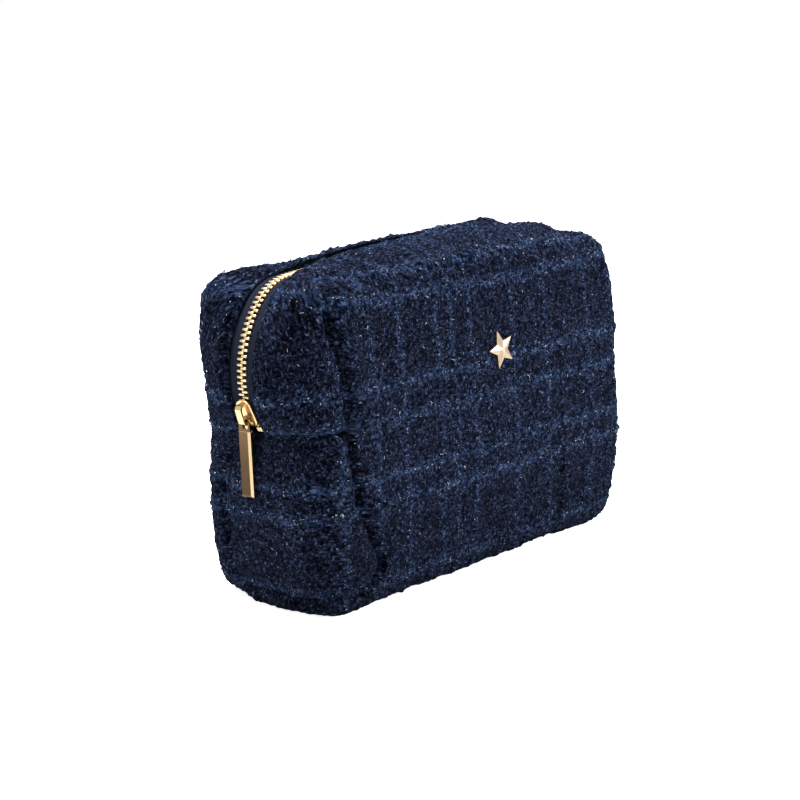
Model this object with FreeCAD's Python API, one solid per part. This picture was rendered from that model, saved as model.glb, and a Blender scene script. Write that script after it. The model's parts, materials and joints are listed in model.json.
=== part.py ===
"""Zippered pouch: a stuffed, boxy cosmetic pouch in tweed cloth with a metal
zip over the top and down both ends, an auto-shaped slider with a bar pull,
and a small star badge on the front.

Millimetres. +Z up, X along the length, the front faces -Y, the slider rests
at the -X end. The base stands on z = 0, centred on the origin.
"""
import FreeCAD
import Part
import math
import os
from FreeCAD import Vector, Placement, Rotation

os.makedirs("parts", exist_ok=True)

# ---------------------------------------------------------------- dimensions
# pouch body, outside of the cloth
CORNER_HALF_LENGTH = 99.0      # end corners, plan view
CORNER_HALF_DEPTH = 37.0
CORNER_R = 14.0
FRONT_BULGE = 6.0              # front and back stand out by this at mid height
BASE_EDGE = 7.5                # the walls turn under into the base over this
FOOT_HALF_LENGTH = 106.0       # full ends, just above the base
BASE_CORNER = 9.0              # the ends turn under over this

# zip centreline in the X-Z plane: crown arc, shoulder arc, end arc
ZIP_PEAK_Z = 149.5
END_ARC_X = 67.9               # centre of the end arc the slider runs round
END_ARC_Z = 102.2
END_ARC_R = 47.0
SHOULDER_R = 26.0
SHOULDER_FROM = 42.0           # degrees above level where the shoulder starts
ZIP_END = -30.0                # degrees: the chain ends at the end seam
TOP_TURN = 19.0                # the walls start to turn over this far below the peak
TOP_FLAT_HALF_W = 27.0         # soft flat of the top beside the zip

# layers
TWEED_T = 1.6
WADDING_T = 2.4
LINING_T = 0.6
TAPE_T = 0.8
TWEED_RISE = TAPE_T / 2 + TWEED_T   # outside of the cloth over the zip plane
LAYER_SAG = 0.6                # how flat the inner layers' chords may be

# mouth and end panels
MOUTH_HALF_W = 7.6             # folded cloth edge from the middle of the zip
TAPE_HALF_W = 15.0
END_PANEL_BACK_W = 22.0        # back seam of the lower end panel from the middle
END_PANEL_TOP_X = 92.5         # its front seam lies past the corner: half length at the top
END_PANEL_FOOT_X = 79.0        # and at the foot
END_PANEL_BOTTOM = 7.0
END_PANEL_CORNER_R = 14.0

# zip chain, number 5 metal
PITCH = 2.5
TOOTH_T = 1.1
TOOTH_LEG = 2.8                # half width of the closed chain
TOOTH_REACH = 0.6              # how far a head crosses the middle
TOOTH_H = 2.6
TOOTH_HEAD_H = 2.0
CLAMP_EASE = 0.05              # clamps over the tape's surfaces
TOOTH_ROOT = 1.3               # where the legs start, at the tape's edge
PARTING = 1.45                 # rows pushed apart by the wedge

# slider
SLIDER_AT = -17.0              # degrees on the end arc, closed
SLIDER_L = 12.6
PLATE_T = 0.9
PLATE_IN = 1.6                 # inside of the outer plate from the zip plane
UNDER_IN = 2.0                 # inside of the under plate
NOSE_HALF_W = 3.9
TAIL_HALF_W = 5.35
BRIDGE_W = 3.4
BRIDGE_L = 9.4
BRIDGE_H = 3.6                 # stands above the plate
BRIDGE_T = 1.1

# pull
PULL_L = 29.0
PULL_W = 7.0
PULL_T = 2.8
PULL_BEVEL = 0.9
NECK_L = 4.6
NECK_W = 6.6
EYE_HALF_W = 2.1
BAR_T = 1.3

# star badge
STAR_R = 9.0
STAR_IN_R = 4.1
STAR_T = 2.2
STAR_FLAT = 0.86               # the peak is levelled at this part of its height
STAR_RIM_T = 0.9
STAR_X = 8.4
STAR_Z = 99.5
STAR_TILT = 16.0


# ------------------------------------------------------------------ helpers
def pt(x, z):
    return Vector(x, 0, z)


def line(a, b):
    return Part.LineSegment(a, b).toShape()


def arc(a, m, b):
    return Part.Arc(a, m, b).toShape()


def polygon(points):
    return Part.Face(Part.makePolygon(list(points) + [points[0]]))


def prism(points, direction):
    return polygon(points).extrude(direction)


def box(x0, x1, y0, y1, z0, z1):
    return Part.makeBox(x1 - x0, y1 - y0, z1 - z0, Vector(x0, y0, z0))


def mirror_x(shape):
    return shape.mirror(Vector(0, 0, 0), Vector(1, 0, 0))


def mirror_y(shape):
    return shape.mirror(Vector(0, 0, 0), Vector(0, 1, 0))


def save(name, *solids):
    """One node: a single solid, or a group of separate ones."""
    found = []
    for shape in solids:
        found += [s for s in shape.Solids if s.Volume > 0.02]
    if len(found) == 1:
        found[0].exportStep("parts/%s.step" % name)
    else:
        Part.makeCompound(found).exportStep("parts/%s.step" % name)
    print("%-18s solids %3d  valid %s" % (
        name, len(found), all(s.isValid() for s in found)))


# ----------------------------------------------------------- zip centreline
def rad(deg):
    return math.radians(deg)


SHOULDER_X = -END_ARC_X - (END_ARC_R - SHOULDER_R) * math.cos(rad(SHOULDER_FROM))
SHOULDER_Z = END_ARC_Z + (END_ARC_R - SHOULDER_R) * math.sin(rad(SHOULDER_FROM))
# crown arc that touches both shoulders from outside
_d = ZIP_PEAK_Z - SHOULDER_Z
CROWN_R = (SHOULDER_X ** 2 + _d ** 2 - SHOULDER_R ** 2) / (2 * (_d - SHOULDER_R))
CROWN_Z = ZIP_PEAK_Z - CROWN_R
CROWN_HALF = math.degrees(math.asin(-SHOULDER_X / (CROWN_R - SHOULDER_R)))

LEN_END = END_ARC_R * rad(SHOULDER_FROM - ZIP_END)
LEN_SHOULDER = SHOULDER_R * rad(90.0 - CROWN_HALF - SHOULDER_FROM)
LEN_CROWN = 2 * CROWN_R * rad(CROWN_HALF)
ZIP_LEN = LEN_CROWN + 2 * (LEN_SHOULDER + LEN_END)


def zip_at(s):
    """Point and slope (degrees) on the centreline, s from the -X end."""
    if s > ZIP_LEN / 2:
        x, z, slope = zip_at(ZIP_LEN - s)
        return -x, z, -slope
    if s < LEN_END:
        a = ZIP_END + math.degrees(s / END_ARC_R)
        return (-END_ARC_X - END_ARC_R * math.cos(rad(a)),
                END_ARC_Z + END_ARC_R * math.sin(rad(a)), 90.0 - a)
    s -= LEN_END
    if s < LEN_SHOULDER:
        a = SHOULDER_FROM + math.degrees(s / SHOULDER_R)
        return (SHOULDER_X - SHOULDER_R * math.cos(rad(a)),
                SHOULDER_Z + SHOULDER_R * math.sin(rad(a)), 90.0 - a)
    s -= LEN_SHOULDER
    a = CROWN_HALF - math.degrees(s / CROWN_R)
    return (-CROWN_R * math.sin(rad(a)), CROWN_Z + CROWN_R * math.cos(rad(a)), a)


def set_on_zip(shape, s):
    """Move a shape drawn with +X along the chain and +Z outward to s."""
    x, z, slope = zip_at(s)
    moved = shape.copy()
    moved.Placement = Placement(Vector(x, 0, z),
                                Rotation(Vector(0, 1, 0), -slope)).multiply(moved.Placement)
    return moved


def zip_edges(off, end_angle):
    """Centreline offset outward by off, from the -X end to the +X end."""
    def on(cx, cz, r, a):
        return pt(cx - r * math.cos(rad(a)), cz + r * math.sin(rad(a)))
    r1, r2, r3 = END_ARC_R + off, SHOULDER_R + off, CROWN_R + off
    top = 90.0 - CROWN_HALF
    p0 = on(-END_ARC_X, END_ARC_Z, r1, end_angle)
    p1 = on(-END_ARC_X, END_ARC_Z, r1, SHOULDER_FROM)
    p2 = on(SHOULDER_X, SHOULDER_Z, r2, top)
    m01 = on(-END_ARC_X, END_ARC_Z, r1, (end_angle + SHOULDER_FROM) / 2)
    m12 = on(SHOULDER_X, SHOULDER_Z, r2, (SHOULDER_FROM + top) / 2)

    def far(p):
        return pt(-p.x, p.z)
    return p0, [arc(p0, m01, p1), arc(p1, m12, p2),
                arc(p2, pt(0, CROWN_Z + r3), far(p2)),
                arc(far(p2), far(m12), far(p1)), arc(far(p1), far(m01), far(p0))]


SEAM_X, SEAM_Z, _ = zip_at(0.0)


# -------------------------------------------------------------- pouch shape
class Side:
    """A line or an arc of an outline drawn with the inside on its left."""

    def __init__(self, a, m, b):
        self.a, self.m, self.b = a, m, b
        self.centre = None
        if m is not None:
            ax, ay, mx, my, bx, by = a + m + b
            d = 2 * (ax * (my - by) + mx * (by - ay) + bx * (ay - my))
            a2, m2, b2 = ax * ax + ay * ay, mx * mx + my * my, bx * bx + by * by
            self.centre = ((a2 * (my - by) + m2 * (by - ay) + b2 * (ay - my)) / d,
                           (a2 * (bx - mx) + m2 * (ax - bx) + b2 * (mx - ax)) / d)
            self.r = math.hypot(ax - self.centre[0], ay - self.centre[1])
            turn = (mx - ax) * (by - ay) - (my - ay) * (bx - ax)
            self.way = 1.0 if turn > 0 else -1.0      # 1: centre on the left
        else:
            n = math.hypot(b[0] - a[0], b[1] - a[1])
            self.normal = (-(b[1] - a[1]) / n, (b[0] - a[0]) / n)

    def inward(self, p):
        if self.centre is None:
            return self.normal
        x, y = self.centre[0] - p[0], self.centre[1] - p[1]
        n = math.hypot(x, y)
        return (self.way * x / n, self.way * y / n)

    def miss(self, p, inset):
        """Signed distance of p from this side moved in by inset."""
        if self.centre is None:
            return ((p[0] - self.a[0]) * self.normal[0]
                    + (p[1] - self.a[1]) * self.normal[1] - inset)
        r = math.hypot(p[0] - self.centre[0], p[1] - self.centre[1])
        return self.way * (self.r - r) - inset


def moved_corner(one, two, inset):
    p = one.b
    n1, n2 = one.inward(p), two.inward(p)
    dot = n1[0] * n2[0] + n1[1] * n2[1]
    if dot > 1 - 1e-7:
        return (p[0] + inset * n1[0], p[1] + inset * n1[1])
    q = (p[0] + inset * (n1[0] + n2[0]) / (1 + dot), p[1] + inset * (n1[1] + n2[1]) / (1 + dot))
    for _ in range(12):
        n1, n2 = one.inward(q), two.inward(q)
        e1, e2 = one.miss(q, inset), two.miss(q, inset)
        det = n1[0] * n2[1] - n1[1] * n2[0]
        q = (q[0] - (e1 * n2[1] - e2 * n1[1]) / det, q[1] - (n1[0] * e2 - n2[0] * e1) / det)
    return q


def chord_points(a, b, centre, sag):
    """Points along an arc from a towards b, without b, for chords that sag by no more."""
    cx, cy = centre
    r = math.hypot(a[0] - cx, a[1] - cy)
    t0 = math.atan2(a[1] - cy, a[0] - cx)
    turn = math.atan2(b[1] - cy, b[0] - cx) - t0
    turn = (turn + math.pi) % (2 * math.pi) - math.pi
    n = max(1, math.ceil(abs(turn) / (2 * math.acos(1 - min(1.0, sag / r)))))
    return [(cx + r * math.cos(t0 + turn * i / n), cy + r * math.sin(t0 + turn * i / n))
            for i in range(n)]


def inset_face(marks, inset, place, sag=None):
    """Face inside an outline of (start, middle or None) marks, moved in.

    With a sag, in mm, each arc is drawn as chords, for inner layers.
    """
    count = len(marks)
    sides = [Side(marks[i][0], marks[i][1], marks[(i + 1) % count][0]) for i in range(count)]
    corners = [moved_corner(sides[i - 1], sides[i], inset) for i in range(count)]
    if sag:
        points = []
        for i, side in enumerate(sides):
            a, b = corners[i], corners[(i + 1) % count]
            points += [a] if side.m is None else chord_points(a, b, side.centre, sag)
        return polygon([place(*q) for q in points])
    edges = []
    for i, side in enumerate(sides):
        a, b = corners[i], corners[(i + 1) % count]
        if side.m is None:
            edges.append(line(place(*a), place(*b)))
        else:
            n = side.inward(side.m)
            m = (side.m[0] + inset * n[0], side.m[1] + inset * n[1])
            edges.append(arc(place(*a), place(*m), place(*b)))
    return Part.Face(Part.Wire(edges))


OUTER_END = END_ARC_X + END_ARC_R + TWEED_RISE   # furthest point of the end
OUTER_TOP = ZIP_PEAK_Z + TWEED_RISE
REACH = 1.3 * OUTER_END                          # beyond the pouch all round


def body(inset, sag=None):
    """The stuffed outside shape, shrunk by inset on every side."""
    # seen from the front: flat base, bulged end, then the zip's outline
    _, top = zip_edges(TWEED_RISE, ZIP_END)

    def middle(edge):
        v = edge.valueAt((edge.FirstParameter + edge.LastParameter) / 2)
        return (abs(v.x), v.z)

    def lower(edge):
        v = min(edge.Vertexes, key=lambda w: w.Point.z).Point
        return (abs(v.x), v.z)

    def far(q):
        return (-q[0], q[1])
    end_arc, shoulder, crown = top[:3]
    seam, knee, hip = lower(end_arc), lower(shoulder), lower(crown)
    low = (FOOT_HALF_LENGTH, BASE_CORNER)
    belly = (seam[0] + 0.1 * BASE_CORNER, (seam[1] + low[1]) * 0.5)
    heel = (FOOT_HALF_LENGTH - BASE_CORNER, 0.0)
    heel_mid = (heel[0] + 0.72 * BASE_CORNER, 0.30 * BASE_CORNER)
    peak = (0.0, OUTER_TOP)
    marks = [(heel, heel_mid), (low, belly), (seam, middle(end_arc)), (knee, middle(shoulder)),
             (hip, peak), (far(hip), far(middle(shoulder))), (far(knee), far(middle(end_arc))),
             (far(seam), far(belly)), (far(low), far(heel_mid)), (far(heel), None)]
    # the outline is drawn with the inside on its left when +Y points away
    front = inset_face(marks, inset, lambda x, z: Vector(x, -REACH, z), sag).extrude(Vector(0, 2 * REACH, 0))

    # seen from the end
    d, f = CORNER_HALF_DEPTH, CORNER_HALF_DEPTH + FRONT_BULGE
    foot = d - BASE_EDGE
    turn = (d + 0.25 * FRONT_BULGE, ZIP_PEAK_Z - TOP_TURN)
    brow = (d - 0.5 * FRONT_BULGE, turn[1] + 0.58 * TOP_TURN)
    soft = (TOP_FLAT_HALF_W, ZIP_PEAK_Z - 0.04 * TOP_TURN)
    marks = [((foot, 0.0), (foot + 0.70 * BASE_EDGE, 0.29 * BASE_EDGE)),
             ((d, BASE_EDGE), (f, 0.47 * ZIP_PEAK_Z)), (turn, brow),
             (soft, (0.0, OUTER_TOP + 2 * TWEED_RISE)), (far(soft), far(brow)),
             (far(turn), (-f, 0.47 * ZIP_PEAK_Z)),
             ((-d, BASE_EDGE), (-foot - 0.70 * BASE_EDGE, 0.29 * BASE_EDGE)), ((-foot, 0.0), None)]
    end = inset_face(marks, inset, lambda y, z: Vector(-REACH, y, z), sag).extrude(Vector(2 * REACH, 0, 0))

    # seen from above
    bow = OUTER_END + 1.5 * TWEED_RISE
    cx, cy = CORNER_HALF_LENGTH + 0.5 * CORNER_R, d - 0.286 * CORNER_R
    kx, ky = CORNER_HALF_LENGTH - 0.5 * CORNER_R, f + 0.01 * CORNER_R
    mx, my = CORNER_HALF_LENGTH + 0.2 * CORNER_R, f - 0.25 * CORNER_R
    marks = [((cx, -cy), (bow, 0.0)), ((cx, cy), (mx, my)), ((kx, ky), None),
             ((-kx, ky), (-mx, my)), ((-cx, cy), (-bow, 0.0)), ((-cx, -cy), (-mx, -my)),
             ((-kx, -ky), None), ((kx, -ky), (mx, -my))]
    plan = inset_face(marks, inset, lambda x, y: Vector(x, y, -REACH), sag).extrude(Vector(0, 0, 3 * REACH))
    return front.common(end).common(plan)


steps = [0.0, TWEED_T, TWEED_T + WADDING_T, TWEED_T + WADDING_T + LINING_T]
bodies = [body(0.0)] + [body(t, LAYER_SAG) for t in steps[1:]]
layers = [bodies[i].cut(bodies[i + 1]) for i in range(3)]

mouth = box(-REACH, REACH, -MOUTH_HALF_W, MOUTH_HALF_W, SEAM_Z, 2 * REACH)


def end_block():
    """Lower end panel at the -X end: it wraps the front corner, and its seams round off at the foot."""
    z0, r = END_PANEL_BOTTOM, END_PANEL_CORNER_R
    side = polygon([Vector(-REACH, -REACH, z0), Vector(-END_PANEL_FOOT_X, -REACH, z0),
                    Vector(-END_PANEL_TOP_X, -REACH, SEAM_Z), Vector(-REACH, -REACH, SEAM_Z)])
    side = side.extrude(Vector(0, 2 * REACH, 0))
    toe = [e for e in side.Edges if e.BoundBox.YLength > REACH and e.BoundBox.ZMax < z0 + 1e-6
           and e.BoundBox.XMin > -END_PANEL_FOOT_X - 1e-6]
    side = side.makeFillet(r, toe)
    across = box(-REACH, 0, -REACH, END_PANEL_BACK_W, z0, SEAM_Z)
    low = [e for e in across.Edges if e.BoundBox.XLength > 0.9 * REACH and e.BoundBox.ZMax < z0 + 1e-6
           and e.BoundBox.YMin > 0]
    return side.common(across.makeFillet(r, low))


end_left = end_block()
end_right = end_left.copy()                      # the same panel, turned round
end_right.rotate(Vector(0, 0, 0), Vector(0, 0, 1), 180)
front_half = box(-REACH, REACH, -REACH, 0, -REACH, 2 * REACH)
back_half = box(-REACH, REACH, 0, REACH, -REACH, 2 * REACH)


def face_band(s_off_in, s_off_out, y0, y1, end_angle):
    """A strip that follows the zip, between two offsets of the centreline."""
    _, outer = zip_edges(s_off_out, end_angle)
    _, inner = zip_edges(s_off_in, end_angle)
    a, b = outer[-1].Vertexes[-1].Point, inner[-1].Vertexes[-1].Point
    c, d = inner[0].Vertexes[0].Point, outer[0].Vertexes[0].Point
    wire = Part.Wire(Part.__sortEdges__(outer + inner + [line(a, b), line(c, d)]))
    strip = Part.Face(wire)
    strip.translate(Vector(0, y0, 0))
    return strip.extrude(Vector(0, y1 - y0, 0))


# ------------------------------------------------------------------- zip
SLIDER_S = END_ARC_R * rad(SLIDER_AT - ZIP_END)
PART_FROM = SLIDER_S + 1.5      # rows start to part just below the nose
PART_FULL = SLIDER_S - 4.0


def parting(s):
    """How far a row is pushed sideways at s."""
    if s >= PART_FROM:
        return 0.0
    if s >= PART_FULL:
        return PARTING * (PART_FROM - s) / (PART_FROM - PART_FULL)
    return PARTING + 0.05 * (PART_FULL - s)


def tooth(side):
    """U-shaped clamp with its head over the middle; side is -1 for the front."""
    h, hh, t = TOOTH_H / 2, TOOTH_HEAD_H / 2, TAPE_T / 2 + CLAMP_EASE
    outline = [(TOOTH_REACH, hh), (TOOTH_REACH, -hh), (-TOOTH_LEG, -h),
               (-TOOTH_LEG, -t), (-TOOTH_ROOT, -t), (-TOOTH_ROOT, t),
               (-TOOTH_LEG, t), (-TOOTH_LEG, h)]
    pts = [Vector(-TOOTH_T / 2, -side * y, z) for y, z in outline]
    return prism(pts, Vector(TOOTH_T, 0, 0))


STOP_L = 2.4                    # stops, along the tape
STOP_AT = 2.4                   # middle of a stop above the seam
FIRST_TOOTH = STOP_AT + STOP_L / 2 + 0.4 + TOOTH_T / 2


def tooth_row(side, first):
    row = []
    base = tooth(side)
    s = first
    while s <= ZIP_LEN - FIRST_TOOTH:
        one = base.copy()
        one.translate(Vector(0, side * parting(s), 0))
        row.append(set_on_zip(one, s))
        s += PITCH
    return row


teeth_front = tooth_row(-1, FIRST_TOOTH)
teeth_back = tooth_row(1, FIRST_TOOTH + PITCH / 2)


def tape(side):
    """Flat band with its inner edge in the teeth's clamps."""
    y0, y1 = sorted((side * TOOTH_ROOT, side * TAPE_HALF_W))
    band = face_band(-TAPE_T / 2, TAPE_T / 2, y0, y1, ZIP_END)
    # the edge follows the rows where the wedge parts them
    ease = 0.62 * TOOTH_T * PARTING / (PART_FROM - PART_FULL)
    pts = [(PART_FROM - SLIDER_S + 0.6 * TOOTH_T, TOOTH_ROOT + ease),
           (PART_FROM - SLIDER_S, TOOTH_ROOT + ease),
           (PART_FULL - SLIDER_S, TOOTH_ROOT + ease + parting(PART_FULL)),
           (-1.5 * TOOTH_LEG - SLIDER_S, TOOTH_ROOT + ease + parting(-1.5 * TOOTH_LEG))]
    x_top, x_low = pts[0][0], pts[-1][0]
    outline = [Vector(x_top, 0, -TOOTH_H)]
    outline += [Vector(x, side * y, -TOOTH_H) for x, y in pts]
    outline += [Vector(x_low, 0, -TOOTH_H)]
    return band.cut(set_on_zip(prism(outline, Vector(0, 0, 2 * TOOTH_H)), SLIDER_S))


tape_front = tape(-1)
tape_back = tape(1)


def top_stop(side):
    """Metal clamp on the tape's edge below the last tooth."""
    y = TOOTH_ROOT + parting(STOP_AT)
    block = box(-STOP_L / 2, STOP_L / 2, -0.7, 0.7 * TOOTH_LEG, -0.46 * TOOTH_H, 0.46 * TOOTH_H)
    block = block.makeChamfer(0.3, [e for e in block.Edges if e.BoundBox.ZLength < 1e-6])
    block = block.cut(box(-STOP_L, STOP_L, 0, TOOTH_LEG, -TAPE_T / 2 - CLAMP_EASE, TAPE_T / 2 + CLAMP_EASE))
    if side < 0:
        block = mirror_y(block)
    block.translate(Vector(0, side * y, 0))
    return set_on_zip(block, STOP_AT)


def bottom_stop():
    """Staple over both tape edges at the far end."""
    block = box(-STOP_L / 2, STOP_L / 2, -TOOTH_LEG, TOOTH_LEG, -TOOTH_H / 2, TOOTH_H / 2)
    block = block.makeChamfer(0.35, [e for e in block.Edges if e.BoundBox.ZLength < 1e-6])
    for side in (-1, 1):
        y0, y1 = sorted((side * TOOTH_ROOT, side * 2 * TOOTH_LEG))
        block = block.cut(box(-STOP_L, STOP_L, y0, y1, -TAPE_T / 2 - CLAMP_EASE, TAPE_T / 2 + CLAMP_EASE))
    return set_on_zip(block, ZIP_LEN - STOP_AT)


# ---------------------------------------------------------------- slider
def at_slider(shape):
    return set_on_zip(shape, SLIDER_S)


def shield(z0, z1, grow=0.0):
    """Plate outline: narrow nose up the chain, wide tail where rows part."""
    nose, tail = SLIDER_L / 2, -SLIDER_L / 2
    n, w = NOSE_HALF_W + grow, TAIL_HALF_W + grow

    def v(x, y):
        return Vector(x, y, z0)
    edges = [arc(v(nose - 1.9, -n), v(nose + grow, 0), v(nose - 1.9, n)),
             line(v(nose - 1.9, n), v(tail + 3.2, w)),
             arc(v(tail + 3.2, w), v(tail + 1.2, w - 0.35), v(tail - grow, w - 1.9)),
             arc(v(tail - grow, w - 1.9), v(tail + 0.5 - grow, 0), v(tail - grow, 1.9 - w)),
             arc(v(tail - grow, 1.9 - w), v(tail + 1.2, 0.35 - w), v(tail + 3.2, -w)),
             line(v(tail + 3.2, -w), v(nose - 1.9, -n))]
    return Part.Face(Part.Wire(edges)).extrude(Vector(0, 0, z1 - z0))


def rim_only(shape):
    """Keep the side walls, open at the nose and at the tail."""
    inner_nose, inner_tail = TOOTH_LEG + 0.33, TOOTH_LEG + PARTING + 0.36
    core = prism([Vector(SLIDER_L, -inner_nose, -5), Vector(SLIDER_L / 2 - 1.4, -inner_nose, -5),
                  Vector(-4.0, -inner_tail, -5), Vector(-SLIDER_L, -inner_tail - 0.4, -5),
                  Vector(-SLIDER_L, inner_tail + 0.4, -5), Vector(-4.0, inner_tail, -5),
                  Vector(SLIDER_L / 2 - 1.4, inner_nose, -5), Vector(SLIDER_L, inner_nose, -5)],
                 Vector(0, 0, 10))
    return shape.cut(core)


def slider_body():
    top = shield(PLATE_IN, PLATE_IN + PLATE_T)
    crest = [e for e in top.Edges if abs(e.BoundBox.ZMin - PLATE_IN - PLATE_T) < 1e-6]
    top = top.makeChamfer(0.35, crest)
    under = shield(-UNDER_IN - PLATE_T, -UNDER_IN)
    slot = TAPE_T / 2 + 0.32
    lip_top = rim_only(shield(slot, PLATE_IN))
    lip_low = rim_only(shield(-UNDER_IN, -slot - 0.45))
    wedge = prism([Vector(-2.0, 0, -UNDER_IN), Vector(-4.0, 0.5, -UNDER_IN),
                   Vector(-5.8, 0.5, -UNDER_IN), Vector(-5.8, -0.5, -UNDER_IN),
                   Vector(-4.0, -0.5, -UNDER_IN)], Vector(0, 0, UNDER_IN + PLATE_IN))
    return at_slider(top.fuse([under, lip_top, lip_low, wedge]).removeSplitter())


PLATE_TOP = PLATE_IN + PLATE_T
HINGE_X = -BRIDGE_L / 2 + BRIDGE_T + 0.32 + BAR_T / 2
HINGE_Z = PLATE_TOP + 0.45 + BAR_T / 2


def slider_bridge():
    """Thick flat arch that holds the pull."""
    h, l, t = BRIDGE_H, BRIDGE_L / 2, BRIDGE_T

    def v(x, z):
        return Vector(x, -BRIDGE_W / 2, PLATE_TOP + z)
    outer = [line(v(-l, 0), v(-l, h * 0.45)), arc(v(-l, h * 0.45), v(-l + 0.62, h - 0.62), v(-l + 2.1, h)),
             line(v(-l + 2.1, h), v(l - 2.1, h)),
             arc(v(l - 2.1, h), v(l - 0.62, h - 0.62), v(l, h * 0.45)), line(v(l, h * 0.45), v(l, 0)),
             line(v(l, 0), v(-l, 0))]
    k = l - t
    hole = [line(v(-k, -1), v(-k, h * 0.45)), arc(v(-k, h * 0.45), v(-k + 0.36, h - t - 0.36), v(-k + 1.2, h - t)),
            line(v(-k + 1.2, h - t), v(k - 1.2, h - t)),
            arc(v(k - 1.2, h - t), v(k - 0.36, h - t - 0.36), v(k, h * 0.45)), line(v(k, h * 0.45), v(k, -1)),
            line(v(k, -1), v(-k, -1))]
    arch = Part.Face(Part.Wire(outer)).extrude(Vector(0, BRIDGE_W, 0))
    arch = arch.cut(Part.Face(Part.Wire(hole)).extrude(Vector(0, BRIDGE_W, 0)))
    rim = [e for e in arch.Edges
           if e.BoundBox.YLength < 1e-6 and e.BoundBox.ZMin > PLATE_TOP + 0.01
           and (e.BoundBox.ZMax > PLATE_TOP + h - 0.01)]
    arch = arch.makeChamfer(0.25, rim)
    return at_slider(arch)


def hinge_point():
    x, z, slope = zip_at(SLIDER_S)
    c, s = math.cos(rad(slope)), math.sin(rad(slope))
    return Vector(x + HINGE_X * c - HINGE_Z * s, 0, z + HINGE_X * s + HINGE_Z * c)


HINGE = hinge_point()


def pull_tab():
    """Hangs straight down: crossbar, eye and a bevelled bar. Faces -X."""
    # drawn from the crossbar at the origin, down along -Z
    t = PULL_T / 2
    y_w, y_n = PULL_W / 2, NECK_W / 2
    bar = box(-t, t, -y_w, y_w, -NECK_L - PULL_L, -NECK_L)
    edges = [e for e in bar.Edges if e.BoundBox.XMax < -t + 1e-6
             and (e.BoundBox.ZLength > 5 or e.BoundBox.ZMax < -NECK_L - PULL_L + 1e-6)]
    bar = bar.makeChamfer(PULL_BEVEL, edges)
    low = [e for e in bar.Edges if abs(e.BoundBox.ZMax + NECK_L) < 1e-6 and e.BoundBox.ZLength < 1e-6]
    bar = bar.makeChamfer(0.35, low)
    n = BAR_T / 2

    def v(y, z):
        return Vector(-n, y, z)
    neck = [line(v(-y_n, -NECK_L - 0.6), v(-y_n, -1.2)), arc(v(-y_n, -1.2), v(-y_n + 0.75, 0.3), v(-y_n + 1.9, n)),
            line(v(-y_n + 1.9, n), v(y_n - 1.9, n)), arc(v(y_n - 1.9, n), v(y_n - 0.75, 0.3), v(y_n, -1.2)),
            line(v(y_n, -1.2), v(y_n, -NECK_L - 0.6)), line(v(y_n, -NECK_L - 0.6), v(-y_n, -NECK_L - 0.6))]
    neck = Part.Face(Part.Wire(neck)).extrude(Vector(BAR_T, 0, 0))
    w = EYE_HALF_W
    eye = [line(v(-w, -NECK_L + 1.3), v(-w, -n)), line(v(-w, -n), v(w, -n)), line(v(w, -n), v(w, -NECK_L + 1.3)),
           arc(v(w, -NECK_L + 1.3), v(0, -NECK_L + 0.55), v(-w, -NECK_L + 1.3))]
    neck = neck.cut(Part.Face(Part.Wire(eye)).extrude(Vector(BAR_T, 0, 0)))
    pull = bar.fuse(neck).removeSplitter()
    pull.translate(HINGE)
    return pull


# ----------------------------------------------------------------- star
def star_outline(r_out, r_in):
    pts = []
    for i in range(10):
        a = rad(90 + STAR_TILT + 36 * i)
        r = r_out if i % 2 == 0 else r_in
        pts.append((r * math.cos(a), r * math.sin(a)))
    return pts


def front_surface_y(x, z):
    """Where the front cloth is at x, z."""
    ray = Part.makeLine(Vector(x, -90, z), Vector(x, 0, z))
    return min(v.Point.y for v in bodies[0].common(ray).Vertexes)


STAR_Y = front_surface_y(STAR_X, STAR_Z)
STAR_LEAN = math.degrees(math.atan2(front_surface_y(STAR_X, STAR_Z + 8) - front_surface_y(STAR_X, STAR_Z - 8), 16.0))


def set_on_front(shape):
    """Move a shape drawn in X-Z with -Y outward onto the front cloth."""
    moved = shape.copy()
    moved.Placement = Placement(Vector(STAR_X, STAR_Y, STAR_Z),
                                Rotation(Vector(1, 0, 0), -STAR_LEAN)).multiply(moved.Placement)
    return moved


PRONG_X = 2.6
PRONG_W = 1.6
PRONG_T = 0.6
WASHER_R = 5.0
WASHER_T = 0.6
WASHER_Y = TWEED_T + 0.15 + WASHER_T


def star_badge():
    """Faceted five-point star on two prongs that pass through the cloth."""
    pts = star_outline(STAR_R, STAR_IN_R)
    seat = 0.35                      # sunk a little into the nap
    back = [Vector(x, seat, z) for x, z in pts]
    star = prism(back, Vector(0, -STAR_RIM_T - seat, 0))
    # ten facets rise to the middle
    peak = Vector(0, -STAR_T, 0)
    rim = [Vector(x * 0.93, -STAR_RIM_T, z * 0.93) for x, z in pts]
    faces = [Part.Face(Part.makePolygon([rim[i], rim[(i + 1) % 10], peak, rim[i]])) for i in range(10)]
    faces.append(polygon(rim))
    cap = Part.Solid(Part.Shell(faces))
    if cap.Volume < 0:
        cap.reverse()
    cap = cap.cut(box(-STAR_R, STAR_R, -2 * STAR_T, -STAR_FLAT * STAR_T, -STAR_R, STAR_R))
    star = star.fuse(cap)
    for x in (-PRONG_X, PRONG_X):
        star = star.fuse(box(x - PRONG_W / 2, x + PRONG_W / 2, 0.0, WASHER_Y + 0.7, -PRONG_T / 2, PRONG_T / 2))
    return set_on_front(star.removeSplitter())


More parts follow.
